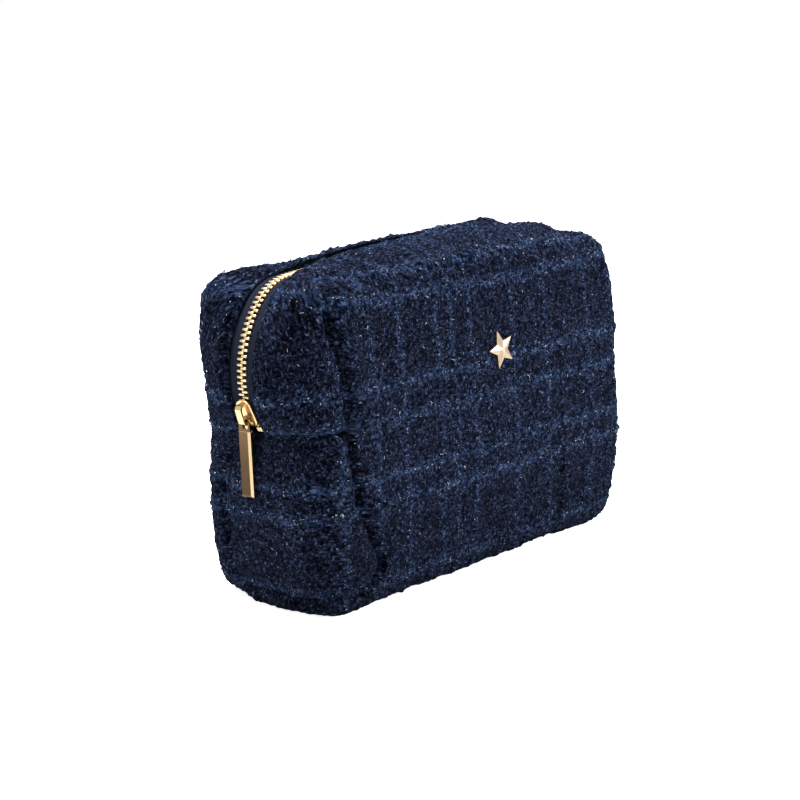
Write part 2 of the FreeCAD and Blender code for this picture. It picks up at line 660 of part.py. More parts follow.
def star_backing():
    ring = [Vector(WASHER_R * math.cos(rad(30 * i)), WASHER_Y - WASHER_T, WASHER_R * math.sin(rad(30 * i)))
            for i in range(12)]
    disc = prism(ring, Vector(0, WASHER_T, 0))
    for x in (-PRONG_X, PRONG_X):
        disc = disc.cut(box(x - PRONG_W / 2 - 0.1, x + PRONG_W / 2 + 0.1, 0, 5, -PRONG_T / 2 - 0.1, PRONG_T / 2 + 0.1))
    return set_on_front(disc)


badge = star_badge()
washer = star_backing()
washer_room = set_on_front(Part.makeBox(2.12 * WASHER_R, WADDING_T, 2.12 * WASHER_R,
                                        Vector(-1.06 * WASHER_R, TWEED_T, -1.06 * WASHER_R)))

# --------------------------------------------------------------- panels
tapes = tape_front.fuse(tape_back)
names = ["tweed", "wadding", "lining"]
for layer, name in zip(layers, names):
    wall = layer.cut(mouth)
    if name == "wadding":
        wall = wall.cut([tape_front, tape_back, washer_room])
    if name == "tweed":
        wall = wall.cut([tape_front, tape_back, badge, washer_room])
    left = wall.common(end_left)
    right = wall.common(end_right)
    wrap = wall.cut([end_left, end_right])
    save("front_panel" if name == "tweed" else name + "_front", wrap.common(front_half))
    save("back_panel" if name == "tweed" else name + "_back", wrap.common(back_half))
    save("end_panel_left" if name == "tweed" else name + "_end_left", left)
    save("end_panel_right" if name == "tweed" else name + "_end_right", right)

save("zip_tape_front", tape_front)
save("zip_tape_back", tape_back)
save("zip_teeth_front", *teeth_front)
save("zip_teeth_back", *teeth_back)
save("zip_top_stops", top_stop(-1), top_stop(1))
save("zip_bottom_stop", bottom_stop())
save("slider_body", slider_body())
save("slider_bridge", slider_bridge())
save("pull_tab", pull_tab())
save("star_badge", badge)
save("star_backing", washer)

print("zip length %.1f, seam at x %.2f z %.2f" % (ZIP_LEN, SEAM_X, SEAM_Z))
print("hinge %.3f %.3f, star y %.2f lean %.2f" % (HINGE.x, HINGE.z, STAR_Y, STAR_LEAN))
box_all = bodies[0].BoundBox
print("body %.1f x %.1f x %.1f" % (box_all.XLength, box_all.YLength, box_all.ZLength))
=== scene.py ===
"""Zippered tweed pouch: cloth cover, zip and brass trim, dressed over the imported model."""

import json
import math

import bmesh
import bpy
import numpy as np
from mathutils import Matrix, Vector


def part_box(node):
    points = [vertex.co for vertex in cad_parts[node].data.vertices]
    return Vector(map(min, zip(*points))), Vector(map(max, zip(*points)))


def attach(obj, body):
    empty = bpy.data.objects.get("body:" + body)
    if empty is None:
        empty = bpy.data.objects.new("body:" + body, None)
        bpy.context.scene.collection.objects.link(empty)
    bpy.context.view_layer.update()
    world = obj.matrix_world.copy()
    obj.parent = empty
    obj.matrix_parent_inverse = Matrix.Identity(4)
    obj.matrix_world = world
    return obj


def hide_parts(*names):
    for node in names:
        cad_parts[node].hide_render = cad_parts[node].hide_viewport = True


bl_info = {
    "name": "Zippered Tweed Pouch",
    "version": (1, 0, 0),
    "blender": (4, 5, 0),
    "location": "3D View > Sidebar > Pouch",
    "description": "Cover, zip and trim of a stuffed tweed pouch",
    "category": "Object",
}

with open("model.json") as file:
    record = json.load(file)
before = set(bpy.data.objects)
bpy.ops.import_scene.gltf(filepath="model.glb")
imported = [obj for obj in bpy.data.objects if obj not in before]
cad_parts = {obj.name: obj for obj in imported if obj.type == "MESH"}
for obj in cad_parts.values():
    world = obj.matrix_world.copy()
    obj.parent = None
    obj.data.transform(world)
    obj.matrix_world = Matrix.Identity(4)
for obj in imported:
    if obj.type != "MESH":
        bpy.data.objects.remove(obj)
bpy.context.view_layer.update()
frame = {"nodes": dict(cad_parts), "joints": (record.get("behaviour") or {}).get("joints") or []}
MM = 0.001


# ---------------------------------------------------------------- the zip's line
def joint_at(name):
    for j in frame["joints"]:
        if j["name"] == name:
            return [1000 * v for v in j["pos_m"]]
    raise RuntimeError("no joint " + name)


def node_box(name):
    lo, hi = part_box(name)
    return [1000 * v for v in lo], [1000 * v for v in hi]


END_C = joint_at("slider_run")                   # middle of the end arc, x and z in mm
TAPE_LO, TAPE_HI = node_box("zip_tape_front")
TAPE_HALF_T = 0.4
ZIP_PEAK = TAPE_HI[2] - TAPE_HALF_T
END_R = -(TAPE_LO[0] + TAPE_HALF_T) + END_C[0]
SHOULDER_R = 26.0
SHOULDER_FROM = math.radians(42)
ZIP_FOOT = math.radians(-30)


def zip_numbers():
    """Middle of the shoulder arc, the crown's radius and where it meets the shoulder."""
    k = END_R - SHOULDER_R
    sx = END_C[0] - k * math.cos(SHOULDER_FROM)
    sz = END_C[2] + k * math.sin(SHOULDER_FROM)
    a = sz - ZIP_PEAK
    crown = (sx * sx + a * a - SHOULDER_R ** 2) / (-2 * a - 2 * SHOULDER_R)
    meet = math.atan2(sz - (ZIP_PEAK - crown), -sx)
    return sx, sz, crown, meet


SH_X, SH_Z, CROWN_R, SH_TO = zip_numbers()
LEN_END = END_R * (SHOULDER_FROM - ZIP_FOOT)
LEN_SH = SHOULDER_R * (SH_TO - SHOULDER_FROM)
LEN_CROWN = CROWN_R * (math.pi / 2 - SH_TO)
HALF_ZIP = LEN_END + LEN_SH + LEN_CROWN
ZIP_LEN = 2 * HALF_ZIP


def zip_at(s, rise=0.0):
    """Place and outward normal on the zip, s mm from the slider's end, rise mm above its plane."""
    t = min(s, ZIP_LEN - s)
    if t < LEN_END:
        a, cx, cz, r = ZIP_FOOT + t / END_R, END_C[0], END_C[2], END_R
    elif t < LEN_END + LEN_SH:
        a, cx, cz, r = SHOULDER_FROM + (t - LEN_END) / SHOULDER_R, SH_X, SH_Z, SHOULDER_R
    else:
        a, cx, cz, r = SH_TO + (t - LEN_END - LEN_SH) / CROWN_R, 0.0, ZIP_PEAK - CROWN_R, CROWN_R
    nx, nz = -math.cos(a), math.sin(a)
    x, z = cx + (r + rise) * nx, cz + (r + rise) * nz
    return (x, z, nx, nz) if s <= HALF_ZIP else (-x, z, -nx, nz)


def zip_matrix(s, rise=0.0):
    """Local X runs up the chain, Z outward, Y stays."""
    x, z, nx, nz = zip_at(s, rise)
    return Matrix(((nz, 0, nx, x * MM), (0, 1, 0, 0), (-nx, 0, nz, z * MM), (0, 0, 0, 1)))


# ---------------------------------------------------------------- settings
def length(name, description, default, low, high):
    return bpy.props.FloatProperty(name=name, description=description + ", mm", default=default, min=low, max=high)


def colour(name, description, default):
    return bpy.props.FloatVectorProperty(name=name, description=description, subtype="COLOR", default=default)


class PouchCloth(bpy.types.PropertyGroup):
    rise: length("Rise", "Cloth above the zip's plane", 2.0, 1, 4)
    fold_r: length("Fold radius", "Long edges of the top", 15.0, 8, 22)
    base_r: length("Base radius", "Long edges of the base", 5.0, 4, 14)
    belly: length("Belly", "Front and back stand out by this", 5.5, 0, 8)
    lip: length("Lip", "Padded crest beside the zip", 1.8, 0, 4)
    puff: length("Puff", "Padding between seams", 2.6, 0, 5)
    groove: length("Seam depth", "How deep the seams pull in", 3.0, 0, 5)
    wall: length("Wall", "Cloth, wadding and lining together", 4.2, 1, 5)
    dark: colour("Ground", "Main yarn", (0.0155, 0.0212, 0.0485))
    slub: colour("Slub", "Thick blue yarn", (0.05, 0.088, 0.205))


class PouchZip(bpy.types.PropertyGroup):
    pitch: length("Pitch", "Tooth to tooth in a row", 2.5, 2, 3)
    first: length("First tooth", "Above the end seam", 4.55, 3, 8)
    tooth_l: length("Tooth", "Tooth along the chain", 1.2, 0.8, 1.3)
    gold: colour("Teeth", "Zip metal", (0.68, 0.52, 0.29))
    brass: colour("Plating", "Slider and pull", (0.62, 0.45, 0.24))


# ---------------------------------------------------------------- small tools
def mode(name):
    bpy.ops.object.mode_set(mode=name)


def paint(obj, *materials):
    obj.data.materials.clear()
    for material in materials:
        obj.data.materials.append(material)


def clear_selection():
    if bpy.context.object and bpy.context.object.mode != "OBJECT":
        mode("OBJECT")
    bpy.ops.object.select_all(action="DESELECT")


def only(obj):
    clear_selection()
    obj.select_set(True)
    bpy.context.view_layer.objects.active = obj


def settle(obj):
    """Place goes into the mesh."""
    only(obj)
    bpy.ops.object.transform_apply(location=True, rotation=True, scale=True)


def modify(obj, kind, **values):
    only(obj)
    m = obj.modifiers.new(kind.title(), kind)
    for k, v in values.items():
        setattr(m, k, v)
    bpy.ops.object.modifier_apply(modifier=m.name)


def read_triples(items, key):
    values = np.empty(len(items) * 3)
    items.foreach_get(key, values)
    return values.reshape(-1, 3)


def read_points(mesh):
    return read_triples(mesh.vertices, "co")


def read_normals(mesh):
    return read_triples(mesh.vertex_normals, "vector")


def face_centres(mesh):
    return read_triples(mesh.polygons, "center")


def write_points(mesh, p):
    mesh.vertices.foreach_set("co", np.ascontiguousarray(p, dtype=np.float32).ravel())
    mesh.update()


def lattice_box(name, nx, ny, nz):
    """A cube cut by planes into nx by ny by nz cells of one unit."""
    clear_selection()
    bpy.ops.mesh.primitive_cube_add(size=1.0, location=(nx / 2, ny / 2, nz / 2), scale=(nx, ny, nz))
    obj = bpy.context.object
    obj.name = obj.data.name = name
    settle(obj)
    mode("EDIT")
    for axis, count in enumerate((nx, ny, nz)):
        no = [0.0, 0.0, 0.0]
        no[axis] = 1.0
        for i in range(1, count):
            bpy.ops.mesh.select_all(action="SELECT")
            co = [0.0, 0.0, 0.0]
            co[axis] = i
            bpy.ops.mesh.bisect(plane_co=co, plane_no=no)
    mode("OBJECT")
    return obj


def hash_noise(u, v, seed):
    """Smooth value noise, one lump to a unit, from -1 to 1."""
    def grid(i, j):
        h = np.sin(i * 127.1 + j * 311.7 + seed * 74.7) * 43758.5453
        return 2 * (h - np.floor(h)) - 1
    i, j = np.floor(u), np.floor(v)
    fu, fv = u - i, v - j
    fu, fv = fu * fu * (3 - 2 * fu), fv * fv * (3 - 2 * fv)
    a = grid(i, j) * (1 - fu) + grid(i + 1, j) * fu
    b = grid(i, j + 1) * (1 - fu) + grid(i + 1, j + 1) * fu
    return a * (1 - fv) + b * fv


def smooth_step(x, a, b):
    """0 before a, 1 after b."""
    t = np.clip((x - a) / (b - a), 0, 1)
    return t * t * (3 - 2 * t)


def hill(x, middle, half):
    """1 at the middle, falling to 1/e at half to either side."""
    return np.exp(-((x - middle) / half) ** 2)


# ---------------------------------------------------------------- outline of the cover
FOOT_X, FOOT_R = 107.0, 5.5        # end of the flat base, and the round above it
ACROSS = [-36, -32, -28, -23, -17.5, -12.5, -7.6, 0, 7.6, 12.5, 17.5, 23, 28, 32, 36]
HALF_ACROSS = ACROSS[-1]
HALF_D = 37.0
ZIP_STEPS = 330                    # outline points along half the zip
BACK_SHIFT = 400                   # the back cloth's weave coordinate runs on from the front's
UP_LOW, UP_TOP = 11, 10            # lattice rows below and above the end seam
ALONG = 32                         # lattice columns from end to end


def left_outline(rise):
    """Points from the base's middle round the -X end to the crown, seen from the front."""
    pts = [(x, 0.0) for x in np.linspace(0, -(FOOT_X - FOOT_R), 120)]
    for a in np.linspace(0, math.pi / 2, 24)[1:]:
        pts.append((-(FOOT_X - FOOT_R) - FOOT_R * math.sin(a), FOOT_R * (1 - math.cos(a))))
    sx, sz, _, _ = zip_at(0.0, rise)
    mid = (min(sx, -FOOT_X) - 1.2, 0.5 * (FOOT_R + sz))
    for t in np.linspace(0, 1, 90)[1:]:
        x = (1 - t) ** 2 * -FOOT_X + 2 * t * (1 - t) * mid[0] + t * t * sx
        z = (1 - t) ** 2 * FOOT_R + 2 * t * (1 - t) * mid[1] + t * t * sz
        pts.append((x, z))
    seam = len(pts) - 1
    for s in np.linspace(0, HALF_ZIP, ZIP_STEPS)[1:]:
        x, z, _, _ = zip_at(s, rise)
        pts.append((x, z))
    return np.array(pts), seam


class Outline:
    """Left half of the cover's outline, by its length from the base's middle."""

    def __init__(self, rise):
        left, self.seam = left_outline(rise)
        self.p = left
        step = np.hypot(*np.diff(left, axis=0).T)
        self.s = np.concatenate([[0], np.cumsum(step)])
        t = np.gradient(left, axis=0)
        t /= np.hypot(*t.T)[:, None]
        self.n = np.stack([t[:, 1], -t[:, 0]], axis=1) * -1
        # outward: down at the base, -X at the end, up at the crown
        if self.n[0][1] > 0:
            self.n *= -1
        foot = np.searchsorted(left[:, 0] * -1, FOOT_X - FOOT_R)
        self.s_foot = self.s[foot] + 0.25 * math.pi * FOOT_R
        self.s_seam = self.s[self.seam]
        sh = self.seam + ZIP_STEPS * (LEN_END + 0.5 * LEN_SH) / HALF_ZIP
        self.s_top = np.interp(sh, range(len(left)), self.s)
        self.s_end = self.s[-1]

    def at(self, s):
        x = np.interp(s, self.s, self.p[:, 0])
        z = np.interp(s, self.s, self.p[:, 1])
        nx = np.interp(s, self.s, self.n[:, 0])
        nz = np.interp(s, self.s, self.n[:, 1])
        m = np.hypot(nx, nz)
        return x, z, nx / m, nz / m

    def side(self, j):
        """Outline length for row j of the end."""
        low = np.linspace(self.s_foot, self.s_seam, UP_LOW + 1)
        high = np.linspace(self.s_seam, self.s_top, UP_TOP + 1)[1:]
        return np.concatenate([low, high])[j]

    def distance(self, q):
        """How far q (x, z) lies inside the whole outline, and the normal there."""
        qx = -np.abs(q[:, 0])
        d = np.hypot(qx[:, None] - self.p[None, ::2, 0], q[:, 1][:, None] - self.p[None, ::2, 1])
        k = d.argmin(axis=1)
        return d[np.arange(len(q)), k], self.s[::2][k]


def fold_radius(s, line, cloth):
    """Radius of the front and back folds along the outline."""
    up = smooth_step(s, line.s_foot - 3, line.s_foot + 10)
    wide = 1 + 0.27 * smooth_step(s, line.s_top - 20, line.s_top + 25)
    return cloth.base_r * (1 - up) + cloth.fold_r * up * wide


def base_form(cloth):
    """Lattice of the whole cover, its vertices laid on the stuffed shape; mouth left open."""
    nx, ny, nz = ALONG, len(ACROSS) - 1, UP_LOW + UP_TOP
    obj = lattice_box("cover_form", nx, ny, nz)
    me = obj.data
    grid = np.rint(read_points(me)).astype(int)
    line = Outline(cloth.rise)
    n = len(grid)
    pos = np.zeros((n, 3))
    s_of = np.zeros(n)
    sign = np.ones(n)
    band = np.zeros(n, bool)
    edge = (grid[:, 1] == 0) | (grid[:, 1] == ny)
    for v in range(n):
        i, k, j = grid[v]
        rim = i in (0, nx) or j in (0, nz)
        if not rim:
            continue
        band[v] = True
        if i in (0, nx) and 0 <= j <= nz:
            s, sg = line.side(j), (1 if i == 0 else -1)
        elif j == 0:
            f = (i / nx - 0.5) * 2
            s, sg = line.s_foot * abs(f), (1 if f < 0 else -1)
        else:
            f = (i / nx - 0.5) * 2
            s, sg = line.s_end - (line.s_end - line.s_top) * abs(f), (1 if f < 0 else -1)
        s_of[v], sign[v] = s, sg
        y = ACROSS[k]
        x, z, ax, az = line.at(s)
        r = float(fold_radius(s, line, cloth))
        flat = HALF_D - r
        if abs(y) > flat:
            a = math.pi / 4 * (abs(y) - flat) / (HALF_ACROSS - flat)
            inset, yy = r * (1 - math.cos(a)), flat + r * math.sin(a)
        else:
            inset, yy = 0.0, abs(y)
        pos[v] = (sg * (x - inset * ax), math.copysign(yy, y), z - inset * az)
    # front and back: between the four rims, then evened out
    index = {tuple(g): v for v, g in enumerate(grid)}
    inner = []
    for v in range(n):
        i, k, j = grid[v]
        if band[v]:
            continue
        u, w = i / nx, j / nz
        L, R = pos[index[(0, k, j)]], pos[index[(nx, k, j)]]
        B, T = pos[index[(i, k, 0)]], pos[index[(i, k, nz)]]
        c = [pos[index[(a, k, b)]] for a in (0, nx) for b in (0, nz)]
        pos[v] = (1 - u) * L + u * R + (1 - w) * B + w * T - (
            (1 - u) * (1 - w) * c[0] + (1 - u) * w * c[1] + u * (1 - w) * c[2] + u * w * c[3])
        inner.append(v)
    inner = np.array(inner)
    e = np.empty(len(me.edges) * 2, int)
    me.edges.foreach_get("vertices", e)
    e = e.reshape(-1, 2)
    cap = edge[e[:, 0]] & edge[e[:, 1]]
    e = e[cap]
    free = np.zeros(n, bool)
    free[inner] = True
    for _ in range(60):
        acc, num = np.zeros((n, 2)), np.zeros(n)
        for a, b in ((e[:, 0], e[:, 1]), (e[:, 1], e[:, 0])):
            np.add.at(acc, a, pos[b][:, [0, 2]])
            np.add.at(num, a, 1)
        mean = acc[free] / num[free][:, None]
        pos[free, 0] += 0.6 * (mean[:, 0] - pos[free, 0])
        pos[free, 2] += 0.6 * (mean[:, 1] - pos[free, 2])
    d, s_near = line.distance(pos[free][:, [0, 2]])
    r = fold_radius(s_near, line, cloth)
    t = np.clip(r - d, 0, None)
    y = HALF_D - r + np.sqrt(np.clip(r * r - t * t, 0, None))
    pos[free, 1] = np.where(grid[free, 1] == 0, -y, y)
    # weave coordinates: the cloth's own length and height in mm
    me.vertices.foreach_set("co", pos.ravel())
    uv = me.uv_layers.new(name="Weave")
    me.uv_layers.active = uv
    for poly in me.polygons:
        c = poly.center
        ids = [me.loops[l].vertex_index for l in poly.loop_indices]
        g = grid[ids]
        front = g[:, 1].sum() < ny * 2
        for l, vid in zip(poly.loop_indices, ids):
            i, k, j = grid[vid]
            x, _, z = pos[vid]
            far = HALF_ACROSS - abs(ACROSS[k])
            if all(g[:, 1] == 0) or all(g[:, 1] == ny):
                a, b = x, z
            elif all(g[:, 2] == nz) or all(g[:, 2] == 0):
                e0 = pos[index[(i, 0 if front else ny, j)]]
                a, b = e0[0], e0[2] + (far if j == nz else -far)
            else:
                e0 = pos[index[(i, 0 if front else ny, j)]]
                a, b = e0[0] + (far if i == nx else -far), e0[2]
            uv.data[l].uv = (a + (0 if front else BACK_SHIFT), b)
    # the mouth: the faces over the zip are taken out
    only(obj)
    for poly in me.polygons:
        g = grid[[me.loops[l].vertex_index for l in poly.loop_indices]]
        on_top = all(g[:, 2] == nz)
        on_end = (all(g[:, 0] == 0) or all(g[:, 0] == nx)) and g[:, 2].min() >= UP_LOW
        poly.select = bool(6 < g[:, 1].mean() < 8 and (on_top or on_end))
    for item in (*me.vertices, *me.edges):
        item.select = False
    mode("EDIT")
    bpy.ops.mesh.select_mode(type="FACE")
    bpy.ops.mesh.delete(type="FACE")
    bpy.ops.mesh.select_mode(type="VERT")
    mode("OBJECT")
    return obj


HEM_FOLDS = ((0.55, 0.35), (0.75, -0.25), (0.1, -4.5))    # mm down, mm back from the zip


def turn_hem(obj):
    """The mouth's edge folds under: down to the tape, then back below the cloth."""
    me = obj.data
    for drop, back in HEM_FOLDS:
        only(obj)
        bm = bmesh.new()
        bm.from_mesh(me)
        edge_ids = [e.index for e in bm.edges if e.is_boundary]
        bm.free()
        mode("EDIT")
        bpy.ops.mesh.select_all(action="DESELECT")
        bpy.ops.mesh.select_mode(type="EDGE")
        mode("OBJECT")
        flags = np.zeros(len(me.edges), bool)
        flags[edge_ids] = True
        me.edges.foreach_set("select", flags)
        old = len(me.vertices)
        mode("EDIT")
        bpy.ops.mesh.extrude_region_move()
        mode("OBJECT")
        p = read_points(me)
        for v in range(old, len(me.vertices)):
            x, y, z = p[v]
            s = nearest_s(x, z)
            _, _, nx, nz = zip_at(s)
            side = 0.0 if abs(y) < 1 else math.copysign(1, y)
            p[v] = (x - drop * nx, y - back * side, z - drop * nz)
        write_points(me, p)
        uv = me.uv_layers["Weave"].data
        for loop in me.loops:
            if loop.vertex_index >= old:
                uv[loop.index].uv[0] += 1.3 * drop + 0.8 * abs(back)
                uv[loop.index].uv[1] += 1.3 * drop + 0.6 * abs(back)


TABLE_S = np.linspace(0, ZIP_LEN, 700)
ZIP_TABLE = np.array([zip_at(s)[:2] for s in TABLE_S])


def nearest_s(x, z):
    d = (ZIP_TABLE[:, 0] - x) ** 2 + (ZIP_TABLE[:, 1] - z) ** 2
    return float(TABLE_S[d.argmin()])


def zip_frame(p):
    """For many points: s along the zip and height above its plane."""
    s_all = np.linspace(0, ZIP_LEN, 1400)
    tx, tz, nx, nz = np.array([zip_at(s) for s in s_all]).T
    out_s, out_h = np.empty(len(p)), np.empty(len(p))
    batch = 20000
    for a in range(0, len(p), batch):
        x, _, z = p[a:a + batch].T
        k = ((x[:, None] - tx[None]) ** 2 + (z[:, None] - tz[None]) ** 2).argmin(axis=1)
        out_s[a:a + batch] = s_all[k]
        out_h[a:a + batch] = (x - tx[k]) * nx[k] + (z - tz[k]) * nz[k]
    return out_s, out_h


# front seam of the lower end panel: height, half length
SEAM_LINE = [(4, 90), (8, 81), (12, 77.6), (18, 76.5), (24, 77.5), (29, 80.4), (36, 83.4), (46, 87.4),
             (59, 89.9), (76, 91.8), (88, 92.4), (101, 93.2), (112, 95.0), (121, 97.5), (140, 99)]
# thick yarns in weave coordinates, mm
WEFT_ROWS = [9.4, 44.3, 56.6, 80.6, 95.7, 132.0, 143.8, 170, 182]
WARP_ROWS = [-118, -98, -77, -59, -35, -25, -12, 19, 45, 78, 99, 118]
# height of the cover's top edge along the pouch: front lip by the zip, back fold
LIP_TOP = [(-84, 144.2), (-78, 145.3), (-60, 147.9), (-40, 149.7), (-19, 151.0), (2, 151.7), (24, 151.7),
           (38, 150.8), (50, 150.2), (62, 150.2), (72, 149.2), (86, 145.0)]
BACK_TOP = [(-86, 143.4), (-73, 145.2), (-60, 145.3), (-47, 145.9), (-34, 146.6), (-20, 147.0), (-6, 147.8),
            (8, 148.3), (22, 149.1), (38, 150.3), (53, 150.4), (69, 150.3), (85, 148.8)]
END_X = 109.0                      # where the end panels turn the corner
CORNER_R = 12.0                    # their rounded foot


def end_coords(p):
    """Round-the-corner coordinate at either end; the +X end is the other one turned round."""
    y = np.where(p[:, 0] > 0, -p[:, 1], p[:, 1])
    return np.where(y < 0, y + (np.abs(p[:, 0]) - END_X), y), y


def seam_fields(p, seam_z):
    """Signed distance into the lower end panel, and distance to the seam above it."""
    (a, y), z, ax = end_coords(p), p[:, 2], np.abs(p[:, 0])
    zs, xs = np.array(SEAM_LINE).T
    left = a + HALF_D + END_X - np.interp(z, zs, xs)
    right = 22.0 - 11.0 * smooth_step(z, 52, seam_z + 2) - a
    low, top = z - 7.0, seam_z - z

    def corner(u, w):
        c = CORNER_R - np.hypot(np.clip(CORNER_R - u, 0, None), np.clip(CORNER_R - w, 0, None))
        return np.where((u < CORNER_R) & (w < CORNER_R), c, np.minimum(u, w))
    d = np.minimum(np.minimum(corner(left, low), corner(right, low)), top)
    d = np.where(ax > 55, d, -60)
    return d, np.where((z > seam_z - 1) & (z < 134) & (y < 0) & (ax > 60), left, 60)


def stuffed_moves(p, s, h, cloth):
    """Moves that give the cover its stuffed shape, and the lift of the crest beside the zip."""
    x, y, z = p.T
    ax, ay = np.abs(x), np.abs(y)
    east, north = np.sign(x), np.sign(y)
    move = np.zeros_like(p)
    # belly of the front and back
    bow = np.clip(1 - (ax / 108) ** 2.3, 0, 1)
    tall = np.clip(np.sin(np.pi * np.clip((z + 3) / 152, 0, 1) ** 0.85), 0, 1) ** 0.75
    move[:, 1] += north * cloth.belly * bow * tall * smooth_step(ay, 15, 35)
    # right front corner stands fuller
    tall = np.clip(np.sin(np.pi * np.clip((z - 2) / 132, 0, 1)), 0, 1) ** 0.9
    full = hill(x, 101, 26) * smooth_step(-y, 2, 30) * tall
    move[:, 0] += 3.6 * full
    move[:, 1] -= 2.2 * full
    # away from the zip the shoulders are squarer and the ends straighter than its line
    wide = smooth_step(ay, 9, 30)
    square = hill(ax, 101, 15) * hill(z, 138, 15) * wide
    move[:, 0] += east * 4.6 * square
    move[:, 2] += 4.4 * square
    move[:, 0] -= east * 3.6 * hill(z, 100, 19) * smooth_step(ax, 92, 108) * wide
    move[:, 0] += 2.6 * hill(z, 88, 30) * smooth_step(-x, 92, 108) * smooth_step(y, 12, 30)
    # foot of the ends: full at the front, rounded off at the back and at the far corner
    foot = hill(z, 0, 11) * smooth_step(ax, 90, 106) * (x < 0)
    move[:, 0] -= 2.8 * foot * hill(y, -14, 17)
    heel = hill(x, -110, 13) * hill(z, 1, 11) * smooth_step(y, 8, 30)
    move[:, 0] += 5.5 * heel
    move[:, 2] += 4.0 * heel
    toe = hill(x, 110, 15) * hill(z, 1, 13) * smooth_step(-y, 8, 30)
    move[:, 0] -= 6.5 * toe
    move[:, 2] += 3.0 * toe
    # the top's front and back edges rise and dip along the pouch
    crown = ZIP_TABLE[ZIP_TABLE[:, 1] > 138]
    level = np.interp(x, crown[:, 0], crown[:, 1]) + cloth.rise
    on_top = smooth_step(x, -92, -78) * (1 - smooth_step(x, 78, 92)) * smooth_step(z, 118, 138)
    front = (1 - smooth_step(ay, 14, 34)) * (np.interp(x, *np.array(LIP_TOP).T) - level)
    back = smooth_step(ay, 5, 22) * (np.interp(x, *np.array(BACK_TOP).T) - level)
    move[:, 2] += on_top * np.where(y < 0, front, back)
    move[:, 2] -= 2.8 * hill(x, 87, 11) * smooth_step(-y, 8, 24) * smooth_step(z, 118, 136)
    # padded crest either side of the zip
    near = (h > -3) & (s > 1) & (s < ZIP_LEN - 1) & (ay < 40)
    crest = smooth_step(ay, 7.6, np.where(y < 0, 9.8, 11.5)) * (1 - 0.75 * smooth_step(ay, 15, 30))
    ends = smooth_step(s, 0, 26) * smooth_step(ZIP_LEN - s, 0, 26)
    along = smooth_step(x, -86, -70) * (1 - smooth_step(x, 62, 80)) * (z > 120)
    lift = np.where(near & (h > 0.9), cloth.lip * crest * ends * (1 - 0.9 * along), 0)
    # the front edge leans over the teeth along the top
    over = (y < 0) * smooth_step(x, -92, -70) * (1 - smooth_step(x, 8, 44)) * (z > 120)
    move[:, 1] += 5.6 * over * near * (1 - smooth_step(ay, 10, 22)) * smooth_step(h, -2, 1.6)
    return move, lift * (1 + 0.3 * hash_noise(s / 17, north, 3))


def seam_relief(p, seam_z, cloth):
    """Puffed cloth inside the end panels, the rim round them and the seams between."""
    x, y, z = p.T
    d, upper = seam_fields(p, seam_z)
    inside = np.where(d > 0, cloth.puff * 1.3 * (1 - np.exp(-d / 9)), 0)
    rim = np.where((d <= 0) & (d > -40), cloth.puff * 1.1 * (1 - np.exp(d / 4)) * np.exp(d / 16), 0)
    cut = -cloth.groove * np.exp(-(np.abs(d) / 2.3) ** 1.6)
    # the corner seam runs on above the panel, between a fuller and a hollow side
    fade = smooth_step(seam_z + 46 - z, 0, 10)
    cut -= 1.1 * cloth.groove * hill(upper, 0, 1.8) * fade
    cut += np.where(upper < 0, 1.6 * hill(upper, -6, 5), -1.3 * hill(upper, 9, 8)) * fade
    at_corner = np.where(x > 0, -y, y) < -15
    pinch = np.exp(-(np.abs(upper) / 2.7) ** 2.2 - (np.abs(z - 123.5) / 6.5) ** 2.4) * at_corner * (upper < 30)
    bulge = hill(upper, -8, 6) * hill(z, 120, 18) * at_corner * (upper < 0)
    cut += -6.0 * pinch + 1.5 * bulge
    # the seams lie shallow where they pass under the zip's end
    shallow = np.exp(-((z - seam_z) / 7) ** 4) * (1 - smooth_step(np.abs(y), 15, 22)) * (np.abs(x) > 90)
    return inside + rim + cut * (1 - 0.75 * shallow)


def near_rows(coord, rows, half):
    """1 on the nearest row, falling off to either side."""
    return np.max([hill(coord, row, half) for row in rows], axis=0)


def front_u(u):
    """Weave coordinate along the pouch, the same on front and back."""
    return (u + BACK_SHIFT / 2) % BACK_SHIFT - BACK_SHIFT / 2


def yarn_relief(me):
    """Slubs, which stand above the ground weave, and the grain of the weave itself."""
    u, v = vertex_uv(me).T
    wobble = 0.9 * hash_noise(u / 9, v / 9, 5)
    weft = near_rows(v + wobble, WEFT_ROWS, 1.5)
    warp = near_rows(front_u(u) + wobble, WARP_ROWS, 1.3)
    knots = 0.5 + 0.5 * hash_noise(u / 1.7, v / 1.5, 31)
    clump = smooth_step(hash_noise(u / 3.1, v / 3.1, 37), -0.5, 0.3)
    slub = 1.25 * np.maximum(weft, 0.6 * warp) * (0.3 + knots) * clump
    grain = (0.42 * hash_noise(u / 2.3, v / 1.6, 41) + 0.36 * hash_noise(u / 1.5, v / 2.1, 43)
             + 0.22 * hash_noise(u / 0.95, v / 0.95, 47))
    return slub, grain


